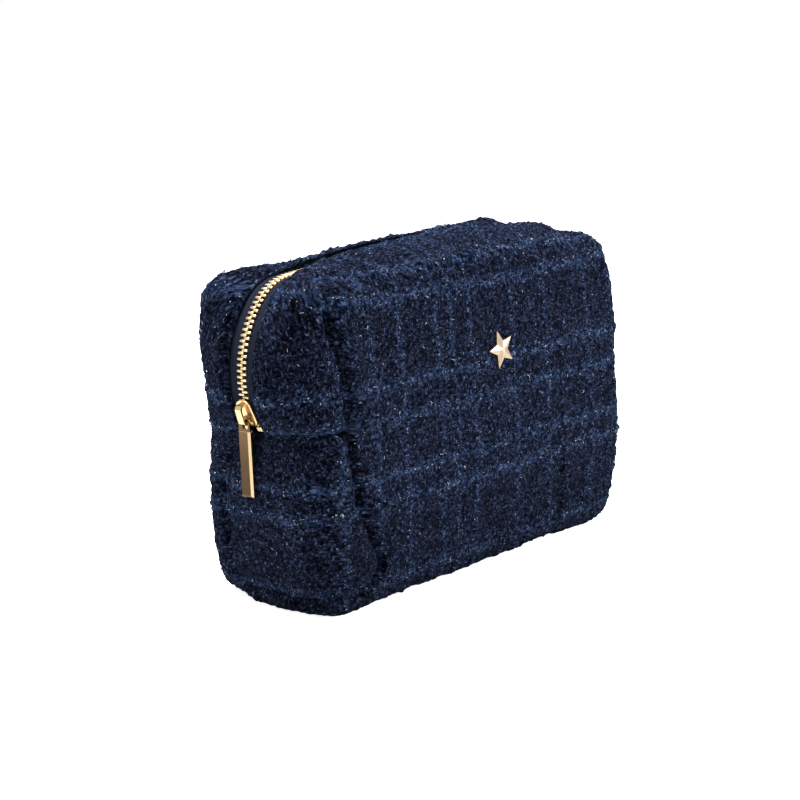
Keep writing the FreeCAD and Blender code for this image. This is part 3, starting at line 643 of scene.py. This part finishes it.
def pad_out(obj, cloth):
    """Padding, seams, lips, dents and slubs, as moves along the surface's own normals."""
    me = obj.data
    p, n = read_points(me), read_normals(me)
    if (n * (p - p.mean(axis=0))).sum(axis=1).mean() < 0:
        raise RuntimeError("cover form is inside out")
    seam_z = zip_at(0.0)[1]
    s, h = zip_frame(p)
    x, y, z = p.T
    ay = np.abs(y)
    move, lift = stuffed_moves(p, s, h, cloth)
    lump = (0.55 * hash_noise(x / 21 + 7, z / 23 + y / 19, 11)
            + 0.28 * hash_noise(x / 8.5, z / 9 + y / 8, 23))
    padding = lift + seam_relief(p, seam_z, cloth) + lump * smooth_step(ay, 8, 16)
    slub, grain = yarn_relief(me)
    hem = ((ay < 9.5) & (h < 1.6) | (ay < 14) & (h < 1.3)) & (h > -2) & (z > seam_z - 2)
    dist = np.where(hem, 0.25 * grain, padding + slub + grain)
    p = p + move + n * dist[:, None]
    p[:, 2] = np.maximum(p[:, 2], 0.0)
    write_points(me, p)


def vertex_uv(me):
    """One weave coordinate for each vertex."""
    layer = me.uv_layers["Weave"].uv
    uv = np.empty(len(layer) * 2)
    layer.foreach_get("vector", uv)
    uv = uv.reshape(-1, 2)
    vid = np.empty(len(me.loops), int)
    me.loops.foreach_get("vertex_index", vid)
    out = np.zeros((len(me.vertices), 2))
    out[vid] = uv
    return out


def split_off(obj, flags, name):
    """Faces flagged become their own object."""
    only(obj)
    me = obj.data
    me.polygons.foreach_set("select", flags)
    mode("EDIT")
    bpy.ops.mesh.select_mode(type="FACE")
    mode("OBJECT")
    me.polygons.foreach_set("select", flags)
    mode("EDIT")
    bpy.ops.mesh.separate(type="SELECTED")
    mode("OBJECT")
    new = [o for o in bpy.context.selected_objects if o is not obj][0]
    new.name = new.data.name = name
    return new


# ---------------------------------------------------------------- materials
RAMP_STOPS = 31                    # a colour ramp holds no more than 32


def new_material(name):
    m = bpy.data.materials.new(name)
    m.use_nodes = True
    nt = m.node_tree
    nt.nodes.clear()
    out = nt.nodes.new("ShaderNodeOutputMaterial")
    bsdf = nt.nodes.new("ShaderNodeBsdfPrincipled")
    nt.links.new(bsdf.outputs[0], out.inputs[0])
    return m, nt, bsdf


class Wire:
    """Short hand for building node trees."""

    def __init__(self, nt):
        self.nt = nt

    def node(self, kind, **sets):
        n = self.nt.nodes.new(kind)
        for k, v in sets.items():
            setattr(n, k, v)
        return n

    def put(self, socket, value):
        if isinstance(value, bpy.types.NodeSocket):
            self.nt.links.new(value, socket)
        else:
            socket.default_value = value

    def math(self, op, a, b, clamp=False):
        n = self.node("ShaderNodeMath", operation=op, use_clamp=clamp)
        self.put(n.inputs[0], a)
        self.put(n.inputs[1], b)
        return n.outputs[0]

    def add(self, a, b):
        return self.math("ADD", a, b)

    def sub(self, a, b, clamp=False):
        return self.math("SUBTRACT", a, b, clamp)

    def mul(self, a, b, clamp=False):
        return self.math("MULTIPLY", a, b, clamp)

    def larger(self, a, b):
        return self.math("MAXIMUM", a, b)

    def split(self, value, kind="XYZ"):
        n = self.node("ShaderNodeSeparate" + kind)
        self.put(n.inputs[0], value)
        return n.outputs

    def vec(self, op, a, b=None, scale=None):
        n = self.node("ShaderNodeVectorMath", operation=op)
        self.put(n.inputs[0], a)
        if b is not None:
            self.put(n.inputs[1], b)
        if scale is not None:
            self.put(n.inputs["Scale"], scale)
        return n.outputs[0]

    def noise(self, vector, scale, detail=2.0, rough=0.5, colour=False):
        n = self.node("ShaderNodeTexNoise")
        self.put(n.inputs["Vector"], vector)
        self.put(n.inputs["Scale"], scale)
        self.put(n.inputs["Detail"], detail)
        self.put(n.inputs["Roughness"], rough)
        return n.outputs["Color" if colour else "Fac"]

    def cells(self, vector, squash):
        """Voronoi cells of about a millimetre, squashed along the weave."""
        n = self.node("ShaderNodeTexVoronoi")
        self.put(n.inputs["Vector"], self.vec("MULTIPLY", vector, (*squash, 1.0)))
        self.put(n.inputs["Scale"], 1.0)
        return n

    def ramp(self, fac, stops):
        """Colour ramp; a stop's colour is three numbers, or one for a grey."""
        n = self.node("ShaderNodeValToRGB")
        elements = n.color_ramp.elements
        elements.remove(elements[-1])
        for i, (place, value) in enumerate(stops):
            e = elements.new(place) if i else elements[0]
            e.position = place
            e.color = (*value, 1) if isinstance(value, tuple) else (value, value, value, 1)
        self.put(n.inputs[0], fac)
        return n.outputs[0]

    def mix(self, fac, a, b, kind="RGBA", blend="MIX"):
        n = self.node("ShaderNodeMix", data_type=kind, blend_type=blend)
        pins = {"RGBA": (6, 7, 2), "FLOAT": (2, 3, 0)}[kind]
        self.put(n.inputs[0], fac)
        self.put(n.inputs[pins[0]], a)
        self.put(n.inputs[pins[1]], b)
        return n.outputs[pins[2]]

    def bump(self, height, strength, distance):
        n = self.node("ShaderNodeBump")
        self.put(n.inputs["Strength"], strength)
        self.put(n.inputs["Distance"], distance)
        self.put(n.inputs["Height"], height)
        return n.outputs[0]


def constants(bsdf, **values):
    """Plain values on the shader's own sockets; rough, sheen and the like for short."""
    sockets = {"rough": "Roughness", "sheen": "Sheen Weight", "sheen_rough": "Sheen Roughness",
               "sheen_tint": "Sheen Tint", "specular": "Specular IOR Level", "metal": "Metallic",
               "base": "Base Color"}
    for key, value in values.items():
        bsdf.inputs[sockets[key]].default_value = value


def row_mask(w, coord, rows, lo, hi, half):
    """Pale bands of a stripe ramp at the given rows."""
    span = hi - lo
    stops = [(0.0, 0.0)]
    for row in rows:
        stops += [((row - lo - half) / span, 0.0), ((row - lo) / span, 1.0), ((row - lo + half) / span, 0.0)]
    return w.ramp(w.math("DIVIDE", w.sub(coord, lo), span), stops[:RAMP_STOPS])


def tweed_material(cloth):
    m, nt, bsdf = new_material("slub_tweed")
    w = Wire(nt)
    uv = w.node("ShaderNodeUVMap", uv_map="Weave").outputs[0]
    u, v, _ = w.split(uv)
    warped = w.noise(uv, 0.7, 3.0, 0.6, colour=True)
    bent = w.vec("ADD", uv, w.vec("SCALE", w.vec("SUBTRACT", warped, (0.5, 0.5, 0.5)), scale=1.5))
    # knots lie along the warp or along the weft
    flat, tall = w.cells(bent, (0.58, 1.08)), w.cells(bent, (1.08, 0.58))
    swap = w.math("GREATER_THAN", w.noise(bent, 0.45, 1.0), 0.5)
    near = w.mix(swap, flat.outputs["Distance"], tall.outputs["Distance"], "FLOAT")
    pick, pick2, _ = w.split(w.mix(swap, flat.outputs["Color"], tall.outputs["Color"]), "Color")
    big = w.cells(bent, (0.36, 0.62))
    fuzz = w.noise(uv, 3.2, 4.0, 0.75)
    # stripes of thick blue yarn
    wobble = w.mul(w.sub(w.noise(uv, 0.11, 2.0), 0.5), 3.4)
    along = w.sub(w.math("FLOORED_MODULO", w.add(u, BACK_SHIFT / 2), BACK_SHIFT), BACK_SHIFT / 2)
    rows = row_mask(w, w.add(v, wobble), WEFT_ROWS, -40, 200, 3.0)
    cols = row_mask(w, w.add(along, wobble), WARP_ROWS[1:11], -130, 130, 2.6)
    stripe = w.larger(rows, w.mul(cols, 0.72))
    broken = w.ramp(w.noise(bent, 0.30, 3.0, 0.6), [(0.38, 0.1), (0.55, 1.0)])
    thick = w.mul(stripe, broken)
    near = w.mix(w.mul(thick, 0.8), near, big.outputs["Distance"], "FLOAT")
    halo = w.larger(row_mask(w, w.add(v, wobble), WEFT_ROWS, -40, 200, 5.5), w.mul(cols, 0.6))
    ground = w.ramp(pick, [(0.0, (0.008, 0.011, 0.024)), (0.35, tuple(cloth.dark)), (0.65, (0.025, 0.033, 0.073)),
                           (0.85, (0.038, 0.048, 0.098)), (1.0, (0.066, 0.081, 0.15))])
    blue = w.ramp(pick, [(0.0, (0.025, 0.049, 0.125)), (0.5, tuple(cloth.slub)), (0.85, (0.088, 0.145, 0.29)),
                         (1.0, (0.16, 0.225, 0.39))])
    stray = w.math("GREATER_THAN", pick2, w.sub(0.92, w.mul(halo, 0.46)))
    col = w.mix(w.larger(w.mul(thick, 1.15, clamp=True), w.mul(stray, 0.7)), ground, blue)
    # painted shade in the gaps between knots, and a painted highlight on their middles
    shade = w.ramp(near, [(0.0, 1.5), (0.3, 0.95), (0.5, 0.36), (0.7, 0.07)])
    col = w.mix(1.0, col, shade, blend="MULTIPLY")
    col = w.mix(1.0, col, w.ramp(fuzz, [(0.3, 0.78), (0.7, 1.3)]), blend="MULTIPLY")
    # silver strip, in short glints mostly on the stripes
    strips = w.cells(bent, (0.75, 2.6))
    chosen = w.math("GREATER_THAN", w.split(strips.outputs["Color"], "Color")[0], w.sub(0.996, w.mul(stripe, 0.11)))
    glint = w.mul(chosen, w.math("LESS_THAN", strips.outputs["Distance"], 0.27))
    w.put(bsdf.inputs["Base Color"], w.mix(glint, col, (0.62, 0.66, 0.74, 1)))
    w.put(bsdf.inputs["Metallic"], w.mul(glint, 0.85))
    w.put(bsdf.inputs["Roughness"], w.mix(glint, 0.92, 0.3, "FLOAT"))
    constants(bsdf, sheen=0.05, sheen_rough=0.25, sheen_tint=(0.5, 0.62, 0.95, 1), specular=0.0)
    height = w.add(w.add(w.sub(1.0, near), w.mul(thick, 0.7)), w.mul(fuzz, 0.5))
    w.put(bsdf.inputs["Normal"], w.bump(height, 1.0, 0.0016))
    return m


def lining_material():
    m, nt, bsdf = new_material("plain_lining")
    w = Wire(nt)
    threads = w.node("ShaderNodeTexBrick", offset=0.5)
    w.put(threads.inputs["Vector"], w.node("ShaderNodeUVMap", uv_map="Weave").outputs[0])
    w.put(threads.inputs["Scale"], 3.0)
    w.put(threads.inputs["Color1"], (0.028, 0.032, 0.062, 1))
    w.put(threads.inputs["Color2"], (0.04, 0.045, 0.08, 1))
    w.put(threads.inputs["Mortar"], (0.008, 0.009, 0.02, 1))
    w.put(bsdf.inputs["Base Color"], threads.outputs["Color"])
    constants(bsdf, rough=0.75, sheen=0.04, specular=0.15)
    w.put(bsdf.inputs["Normal"], w.bump(threads.outputs["Fac"], 0.3, 0.0002))
    return m


def tape_material():
    """Fine herringbone: diagonal threads that turn every few wales."""
    m, nt, bsdf = new_material("herringbone_tape")
    w = Wire(nt)
    uv = w.node("ShaderNodeUVMap", uv_map="Weave").outputs[0]
    s, y, _ = w.split(uv)
    zigzag = w.math("PINGPONG", w.add(y, 60.0), 1.15)
    thread = w.math("PINGPONG", w.add(w.mul(s, 1.9), w.mul(zigzag, 1.7)), 0.5)
    val = w.add(w.mul(thread, 1.4), w.mul(w.noise(uv, 4.0, 3.0, 0.7), 0.45))
    col = w.ramp(val, [(0.15, (0.003, 0.004, 0.008)), (0.5, (0.009, 0.012, 0.024)), (0.8, (0.022, 0.027, 0.05)),
                       (1.0, (0.05, 0.056, 0.09))])
    w.put(bsdf.inputs["Base Color"], col)
    constants(bsdf, rough=0.8, sheen=0.03, specular=0.0)
    w.put(bsdf.inputs["Normal"], w.bump(val, 0.9, 0.0003))
    return m


def metal_material(name, colour, rough, wear=0.12, scale=900.0, tarnish=(0.35, 0.24, 0.12), painted_shade_face=None):
    """Plated metal with faint polish marks and a little tarnish in patches, and for the pull a painted shade on its
    -X face.
    """
    m, nt, bsdf = new_material(name)
    w = Wire(nt)
    tc = w.node("ShaderNodeTexCoord")
    obj = tc.outputs["Object"]
    fine = w.noise(w.vec("MULTIPLY", obj, (scale, scale, 0.35 * scale)), 1.0, 3.0, 0.6)
    tint = w.mul(w.sub(w.noise(obj, 160.0, 3.0, 0.55), 0.46, clamp=True), wear * 6.0, clamp=True)
    col = w.mix(tint, (*colour, 1), (*tarnish, 1))
    if painted_shade_face:
        # painted shade and reflection: the -X face is painted darker than its bevels, and darker still towards its
        # foot
        flat = w.math("GREATER_THAN", w.mul(w.split(tc.outputs["Normal"])[0], -1.0), 0.93)
        lo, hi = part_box("pull_tab")
        up = w.math("DIVIDE", w.sub(w.split(obj)[2], lo[2]), hi[2] - lo[2], clamp=True)
        tones = [(place, tuple(k * c for c in painted_shade_face)) for place, k in ((0.0, 0.62), (0.45, 0.8), (0.8, 1.35))]
        col = w.mix(flat, col, w.ramp(up, tones))
    w.put(bsdf.inputs["Base Color"], col)
    constants(bsdf, metal=1.0)
    w.put(bsdf.inputs["Roughness"], w.add(rough - 0.06, w.mul(fine, 0.14)))
    w.put(bsdf.inputs["Normal"], w.bump(fine, 0.12, 0.00005))
    return m


def fibre_material(name, scale, tones, **values):
    m, nt, bsdf = new_material(name)
    w = Wire(nt)
    tone = w.noise(w.node("ShaderNodeTexCoord").outputs["Object"], scale, 2.0)
    w.put(bsdf.inputs["Base Color"], w.ramp(tone, tones))
    constants(bsdf, **values)
    return m


def finish_node(name, material):
    obj = frame["nodes"][name]
    if not obj.material_slots:
        obj.data.materials.append(material)
    for slot in obj.material_slots:
        slot.material = material


def smooth(obj, angle=40):
    only(obj)
    bpy.ops.object.shade_smooth_by_angle(angle=math.radians(angle))


# ---------------------------------------------------------------- operators
WALL_STEPS = 20                    # grades of the cover's thickness


class POUCH_OT_cover(bpy.types.Operator):
    """Padded tweed cover with its lining, in four panels"""
    bl_idname = "pouch.cover"
    bl_label = "Cover"

    def execute(self, context):
        cloth = context.scene.pouch_cloth
        form = base_form(cloth)
        turn_hem(form)
        modify(form, "SUBSURF", levels=3, render_levels=3)
        pad_out(form, cloth)
        seam_z = zip_at(0.0)[1]
        parts = {}
        for key, east in (("end_left", -1), ("end_right", 1)):
            c = face_centres(form.data)
            parts[key] = split_off(form, (seam_fields(c, seam_z)[0] > 0) & (east * c[:, 0] > 0), "cover_" + key)
        parts["back"] = split_off(form, face_centres(form.data)[:, 1] > 0, "cover_back")
        form.name = form.data.name = "cover_front"
        parts["front"] = form
        tweed, lining = tweed_material(cloth), lining_material()
        for obj in parts.values():
            me = obj.data
            paint(obj, tweed, lining)
            # the wall thins towards the zip
            p = read_points(me)
            _, h = zip_frame(p)
            ay = np.abs(p[:, 1])
            by_tape = (p[:, 2] > seam_z - 6) & (h > -4) & (ay < 24)
            thick = np.where(by_tape, 0.16 + 0.84 * smooth_step(ay, 13, 22), 1.0)
            thick = np.where(by_tape & (h < 1.3), 0.1, thick)
            group = obj.vertex_groups.new(name="wall")
            steps = np.clip(np.rint(thick * WALL_STEPS), 1, WALL_STEPS).astype(int)
            for k in np.unique(steps):
                group.add(np.nonzero(steps == k)[0].tolist(), float(k / WALL_STEPS), "REPLACE")
            modify(obj, "SOLIDIFY", thickness=cloth.wall, offset=-1.0, vertex_group="wall",
                   material_offset=1, use_even_offset=False)
            obj.vertex_groups.clear()
            write_points(me, read_points(me) * MM)
            me.shade_smooth()
            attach(obj, "pouch")
        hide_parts("front_panel", "wadding_front", "lining_front")
        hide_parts("back_panel", "wadding_back", "lining_back")
        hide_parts("end_panel_left", "wadding_end_left", "lining_end_left")
        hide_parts("end_panel_right", "wadding_end_right", "lining_end_right")
        return {"FINISHED"}


TAPE_ROOT, TAPE_WIDTH = 1.3, 13.3  # the tape's inner edge, and how far it reaches from there


class POUCH_OT_tape(bpy.types.Operator):
    """Two woven tapes that carry the teeth"""
    bl_idname = "pouch.tape"
    bl_label = "Zip tape"

    def execute(self, context):
        mat = tape_material()
        for side, name in ((-1, "front"), (1, "back")):
            clear_selection()
            bpy.ops.mesh.primitive_grid_add(x_subdivisions=ZIP_STEPS, y_subdivisions=9, size=1.0)
            obj = bpy.context.object
            obj.name = obj.data.name = "tape_" + name
            me = obj.data
            p = read_points(me)
            s = (p[:, 0] + 0.5) * ZIP_LEN
            f = (p[:, 1] + 0.5) if side > 0 else (0.5 - p[:, 1])
            root = TAPE_ROOT + part_at(s)
            tuck = 1 - smooth_step(np.minimum(s, ZIP_LEN - s), 0, 9)
            y = root + (TAPE_ROOT + TAPE_WIDTH - 5.5 * tuck - root) * f
            on_zip = np.clip(s, 0, ZIP_LEN)
            ripple = 0.07 * np.cos(2 * np.pi * s / 2.5) * np.exp(-(y - TAPE_ROOT) / 1.6)
            rise = ripple - 2.3 * tuck ** 2 - sink_at(on_zip)
            pos = np.empty_like(p)
            for i in range(len(p)):
                x, z, _, _ = zip_at(float(on_zip[i]), float(rise[i]))
                pos[i] = (x, side * y[i], z)
            uv = me.uv_layers.new(name="Weave")
            for loop in me.loops:
                uv.data[loop.index].uv = (s[loop.vertex_index], y[loop.vertex_index])
            write_points(me, pos)
            only(obj)
            modify(obj, "SOLIDIFY", thickness=0.72, offset=0.0)
            write_points(me, read_points(me) * MM)
            mode("EDIT")
            bpy.ops.mesh.select_all(action="SELECT")
            bpy.ops.mesh.normals_make_consistent(inside=False)
            mode("OBJECT")
            paint(obj, mat)
            smooth(obj)
            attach(obj, "pouch")
            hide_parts("zip_tape_" + name)
        return {"FINISHED"}


SLIDER_S = END_R * (math.radians(-17) - ZIP_FOOT)


def sink_at(s):
    """The chain lies a little lower where the front edge covers it."""
    x = np.array([zip_at(float(q))[0] for q in np.atleast_1d(s)])
    return 1.2 * smooth_step(x, -90, -66) * (1 - smooth_step(x, 14, 40))


def part_at(s):
    """The rows part behind the slider's wedge."""
    a, b = SLIDER_S + 1.5, SLIDER_S - 4.0
    s = np.asarray(s, float)
    return np.where(s >= a, 0.0, np.where(s >= b, 1.45 * (a - s) / (a - b), 1.45 + 0.05 * (b - s)))


class POUCH_OT_teeth(bpy.types.Operator):
    """One rounded tooth, copied along both tapes"""
    bl_idname = "pouch.teeth"
    bl_label = "Teeth"

    def execute(self, context):
        z = context.scene.pouch_zip
        mat = metal_material("zip_gold", z.gold, 0.28, wear=0.05)
        clear_selection()
        bpy.ops.mesh.primitive_cube_add(size=1.0, location=(0, -1.1 * MM, 0),
                                        scale=(z.tooth_l * MM, 3.4 * MM, 2.6 * MM))
        tooth = bpy.context.object
        settle(tooth)
        only(tooth)
        mode("EDIT")
        bpy.ops.mesh.select_all(action="SELECT")
        bpy.ops.mesh.bevel(offset=0.42 * MM, segments=2, affect="EDGES")
        mode("OBJECT")
        smooth(tooth, 60)
        for side, name in ((-1, "front"), (1, "back")):
            first = z.first if side < 0 else z.first + z.pitch / 2
            row, s = [], first
            while s <= ZIP_LEN - z.first:
                one = tooth.copy()
                one.data = tooth.data.copy()
                bpy.context.collection.objects.link(one)
                shift = Matrix.Translation((0, side * float(part_at(s)) * MM, -float(sink_at(s)[0]) * MM))
                turn = Matrix.Identity(4) if side < 0 else Matrix.Rotation(math.pi, 4, "Z")
                one.data.transform(zip_matrix(s) @ shift @ turn)
                row.append(one)
                s += z.pitch
            clear_selection()
            for o in row:
                o.select_set(True)
            bpy.context.view_layer.objects.active = row[0]
            bpy.ops.object.join()
            obj = bpy.context.object
            obj.name = obj.data.name = "teeth_" + name
            paint(obj, mat)
            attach(obj, "pouch")
            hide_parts("zip_teeth_" + name)
        bpy.data.objects.remove(tooth)
        return {"FINISHED"}


class POUCH_OT_trim(bpy.types.Operator):
    """Finishes of the slider, pull, stops, star and its backing"""
    bl_idname = "pouch.trim"
    bl_label = "Metal trim"

    def execute(self, context):
        z = context.scene.pouch_zip
        plated = metal_material("plated_brass", z.brass, 0.2, wear=0.06)
        stops = metal_material("stop_gold", z.gold, 0.25, wear=0.05)
        looks = {
            "slider_body": plated,
            "slider_bridge": plated,
            # the pull's -X face tone is painted shade, darker towards its foot
            "pull_tab": metal_material("pull_brass", (0.46, 0.35, 0.20), 0.18, wear=0.04, painted_shade_face=(0.075, 0.046, 0.024)),
            "zip_top_stops": stops,
            "zip_bottom_stop": stops,
            "star_badge": metal_material("satin_gold", (0.36, 0.27, 0.185), 0.38, wear=0.03, scale=1500.0),
            "star_backing": metal_material("backing_steel", (0.55, 0.55, 0.56), 0.4, tarnish=(0.3, 0.3, 0.3)),
        }
        for name, material in looks.items():
            finish_node(name, material)
        return {"FINISHED"}


def fibre_roots():
    """Places, normals and odds of a fibre over the outer cloth; the thick rows have more."""
    places, normals, odds = [], [], []
    for name in ("cover_front", "cover_end_left", "cover_back", "cover_end_right"):
        me = bpy.data.objects[name].data
        p, n = read_points(me) * 1000, read_normals(me)
        keep = is_open_cloth(p, n)
        u, v = vertex_uv(me)[keep].T
        places.append(p[keep])
        normals.append(n[keep])
        odds.append(0.3 + 2.0 * near_rows(v, WEFT_ROWS, 2.2) + 0.9 * near_rows(front_u(u), WARP_ROWS, 2.2))
    odds = np.concatenate(odds)
    return np.concatenate(places), np.concatenate(normals), odds / odds.sum()


def is_open_cloth(p, n):
    """Outer cloth, clear of the zip, the badge and the floor."""
    away = ((p - np.array([0, 0, 70.0])) * n).sum(axis=1) > 0
    x, y, z = p.T
    mouth = (np.abs(y) < 11) & (z > zip_at(0.0)[1] - 8)
    lo, hi = node_box("star_badge")
    star = (x > lo[0] - 1) & (x < hi[0] + 1) & (z > lo[2] - 1) & (z < hi[2] + 1) & (y < 0)
    return away & ~mouth & ~star & (z > 3)


def add_loop(curve, place, normal, rng, longs, highs):
    """One thin loop that leaves the cloth and goes back into it."""
    t = np.cross(normal, rng.normal(size=3))
    t /= np.linalg.norm(t)
    b = np.cross(normal, t)
    long, high, sway = rng.uniform(*longs), rng.uniform(*highs), rng.uniform(-0.8, 0.8)
    line = curve.splines.new("NURBS")
    line.points.add(4)
    for i, (a, up) in enumerate(((0, -0.5), (0.2, high * 0.7), (0.5, high), (0.8, high * 0.6), (1, -0.5))):
        q = place + t * long * (a - 0.5) + normal * up + b * sway * math.sin(a * math.pi) * 1.2
        line.points[i].co = (*(q * MM), 1)
    line.order_u = 3
    line.use_endpoint_u = True


class POUCH_OT_fibres(bpy.types.Operator):
    """Stray yarn loops that stand off the tweed"""
    bl_idname = "pouch.fibres"
    bl_label = "Loose fibres"

    def execute(self, context):
        rng = np.random.default_rng(12)
        yarn = fibre_material("loose_yarn", 260.0, [(0.35, (0.017, 0.023, 0.052)), (0.5, (0.04, 0.068, 0.165)),
                                                    (0.62, (0.09, 0.14, 0.28))], rough=0.9, sheen=0.03, specular=0.0)
        silver = fibre_material("silver_strip", 700.0, [(0.3, (0.5, 0.54, 0.62)), (0.7, (0.85, 0.87, 0.9))],
                                metal=1.0, rough=0.28)
        places, normals, odds = fibre_roots()
        # name, count, radius, length and height in mm, material
        for name, count, radius, longs, highs, material in (
                ("stray_yarn", 2300, 0.13, (1.2, 3.4), (0.35, 1.5), yarn),
                ("silver_strips", 240, 0.09, (1.2, 2.6), (0.15, 0.45), silver)):
            curve = bpy.data.curves.new(name, "CURVE")
            curve.dimensions = "3D"
            curve.bevel_depth = radius * MM
            curve.bevel_resolution = 0
            curve.use_fill_caps = True
            curve.resolution_u = 2
            for k in rng.choice(len(places), count, replace=False, p=odds):
                add_loop(curve, places[k], normals[k], rng, longs, highs)
            only(link_new(name + "_c", curve))
            bpy.ops.object.convert(target="MESH")
            obj = bpy.context.object
            obj.name = obj.data.name = name
            paint(obj, material)
            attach(obj, "pouch")
        return {"FINISHED"}


LAMPS = (                          # name, place, aim, size in metres, watts
    ("key", (0.85, -1.0, 0.5), (0, 0, 0.07), 0.6, 21),
    ("fill", (-1.1, 0.1, 0.6), (0, 0, 0.07), 0.7, 3),
    ("top", (0.05, 0.4, 1.2), (0, 0, 0.1), 0.6, 40),
)
CAMERA_TURN, CAMERA_RISE, CAMERA_ROLL = math.radians(-48.89), math.radians(11.0), math.radians(-2.47)
CAMERA_AIM, CAMERA_AWAY = (-14.78, 0, 75.9), 0.8622    # mm, metres
FRAME, FOCAL = 800, 1851.49        # the render's side and the focal length, in the same unit
SENSOR = 36.0


def floor_material():
    """White to the camera, plain grey-white to the lamps."""
    m, nt, bsdf = new_material("pale_floor")
    w = Wire(nt)
    constants(bsdf, base=(0.9, 0.9, 0.9, 1), rough=1.0, specular=0.0)
    ray = w.node("ShaderNodeLightPath").outputs
    mirror = w.larger(ray["Is Glossy Ray"], ray["Is Transmission Ray"])
    glow = w.node("ShaderNodeEmission")
    w.put(glow.inputs["Strength"], w.larger(w.mul(ray["Is Camera Ray"], 0.82), w.mul(mirror, 0.2)))
    both = w.node("ShaderNodeAddShader")
    w.put(both.inputs[0], bsdf.outputs[0])
    w.put(both.inputs[1], glow.outputs[0])
    out = [n for n in nt.nodes if n.type == "OUTPUT_MATERIAL"][0]
    w.put(out.inputs[0], both.outputs[0])
    return m


def studio_world():
    """White where it is seen, dim as a light."""
    world = bpy.data.worlds.new("studio")
    world.use_nodes = True
    world.node_tree.nodes.clear()
    w = Wire(world.node_tree)
    sky = w.node("ShaderNodeBackground")
    sky.inputs["Color"].default_value = (1, 1, 1, 1)
    ray = w.node("ShaderNodeLightPath").outputs
    seen = w.larger(ray["Is Camera Ray"], w.larger(ray["Is Glossy Ray"], ray["Is Transmission Ray"]))
    w.put(sky.inputs["Strength"], w.mix(seen, 0.24, 1.0, "FLOAT"))
    w.put(w.node("ShaderNodeOutputWorld").inputs[0], sky.outputs[0])
    return world


def link_new(name, data):
    obj = bpy.data.objects.new(name, data)
    bpy.context.collection.objects.link(obj)
    return obj


class POUCH_OT_stage(bpy.types.Operator):
    """Pale floor, soft lamps and the camera"""
    bl_idname = "pouch.stage"
    bl_label = "Stage"

    def execute(self, context):
        clear_selection()
        bpy.ops.mesh.primitive_plane_add(size=6.0, location=(0, 0, 0))
        floor = bpy.context.object
        floor.name = floor.data.name = "floor"
        paint(floor, floor_material())
        context.scene.world = studio_world()
        for name, place, aim, size, watts in LAMPS:
            data = bpy.data.lights.new(name, "AREA")
            data.shape = "DISK"
            data.size = size
            data.energy = watts
            lamp = link_new(name, data)
            lamp.location = place
            lamp.rotation_euler = (Vector(aim) - Vector(place)).to_track_quat("-Z", "Y").to_euler()
        a, e, roll = CAMERA_TURN, CAMERA_RISE, CAMERA_ROLL
        back = Vector((math.sin(a) * math.cos(e), -math.cos(a) * math.cos(e), math.sin(e)))
        right = (-back).cross(Vector((0, 0, 1))).normalized()
        up = right.cross(-back)
        xr = right * math.cos(roll) + up * math.sin(roll)
        yr = -right * math.sin(roll) + up * math.cos(roll)
        data = bpy.data.cameras.new("camera")
        data.sensor_width = SENSOR
        data.lens = SENSOR * FOCAL / FRAME
        camera = link_new("camera", data)
        at = Vector(CAMERA_AIM) * MM + back * CAMERA_AWAY
        camera.matrix_world = Matrix((*((xr[i], yr[i], back[i], at[i]) for i in range(3)), (0, 0, 0, 1)))
        context.scene.camera = camera
        context.scene.view_settings.view_transform = "Standard"
        return {"FINISHED"}


class POUCH_PT_tools(bpy.types.Panel):
    bl_idname = "POUCH_PT_tools"
    bl_label = "Pouch"
    bl_space_type = "VIEW_3D"
    bl_region_type = "UI"
    bl_category = "Pouch"

    def draw(self, context):
        for group in (context.scene.pouch_cloth, context.scene.pouch_zip):
            box = self.layout.box()
            for key in group.bl_rna.properties.keys():
                if key not in ("rna_type", "name"):
                    box.prop(group, key)
        for step in STEPS:
            self.layout.operator(step.bl_idname)


STEPS = (POUCH_OT_stage, POUCH_OT_cover, POUCH_OT_tape, POUCH_OT_teeth, POUCH_OT_trim, POUCH_OT_fibres)
CLASSES = (PouchCloth, PouchZip) + STEPS + (POUCH_PT_tools,)


def register():
    for c in CLASSES:
        bpy.utils.register_class(c)
    bpy.types.Scene.pouch_cloth = bpy.props.PointerProperty(type=PouchCloth)
    bpy.types.Scene.pouch_zip = bpy.props.PointerProperty(type=PouchZip)


def unregister():
    del bpy.types.Scene.pouch_zip
    del bpy.types.Scene.pouch_cloth
    for c in reversed(CLASSES):
        bpy.utils.unregister_class(c)


def main():
    register()
    bpy.ops.pouch.stage()
    bpy.ops.pouch.cover()
    bpy.ops.pouch.tape()
    bpy.ops.pouch.teeth()
    bpy.ops.pouch.trim()
    bpy.ops.pouch.fibres()


if __name__ == "__main__":
    main()
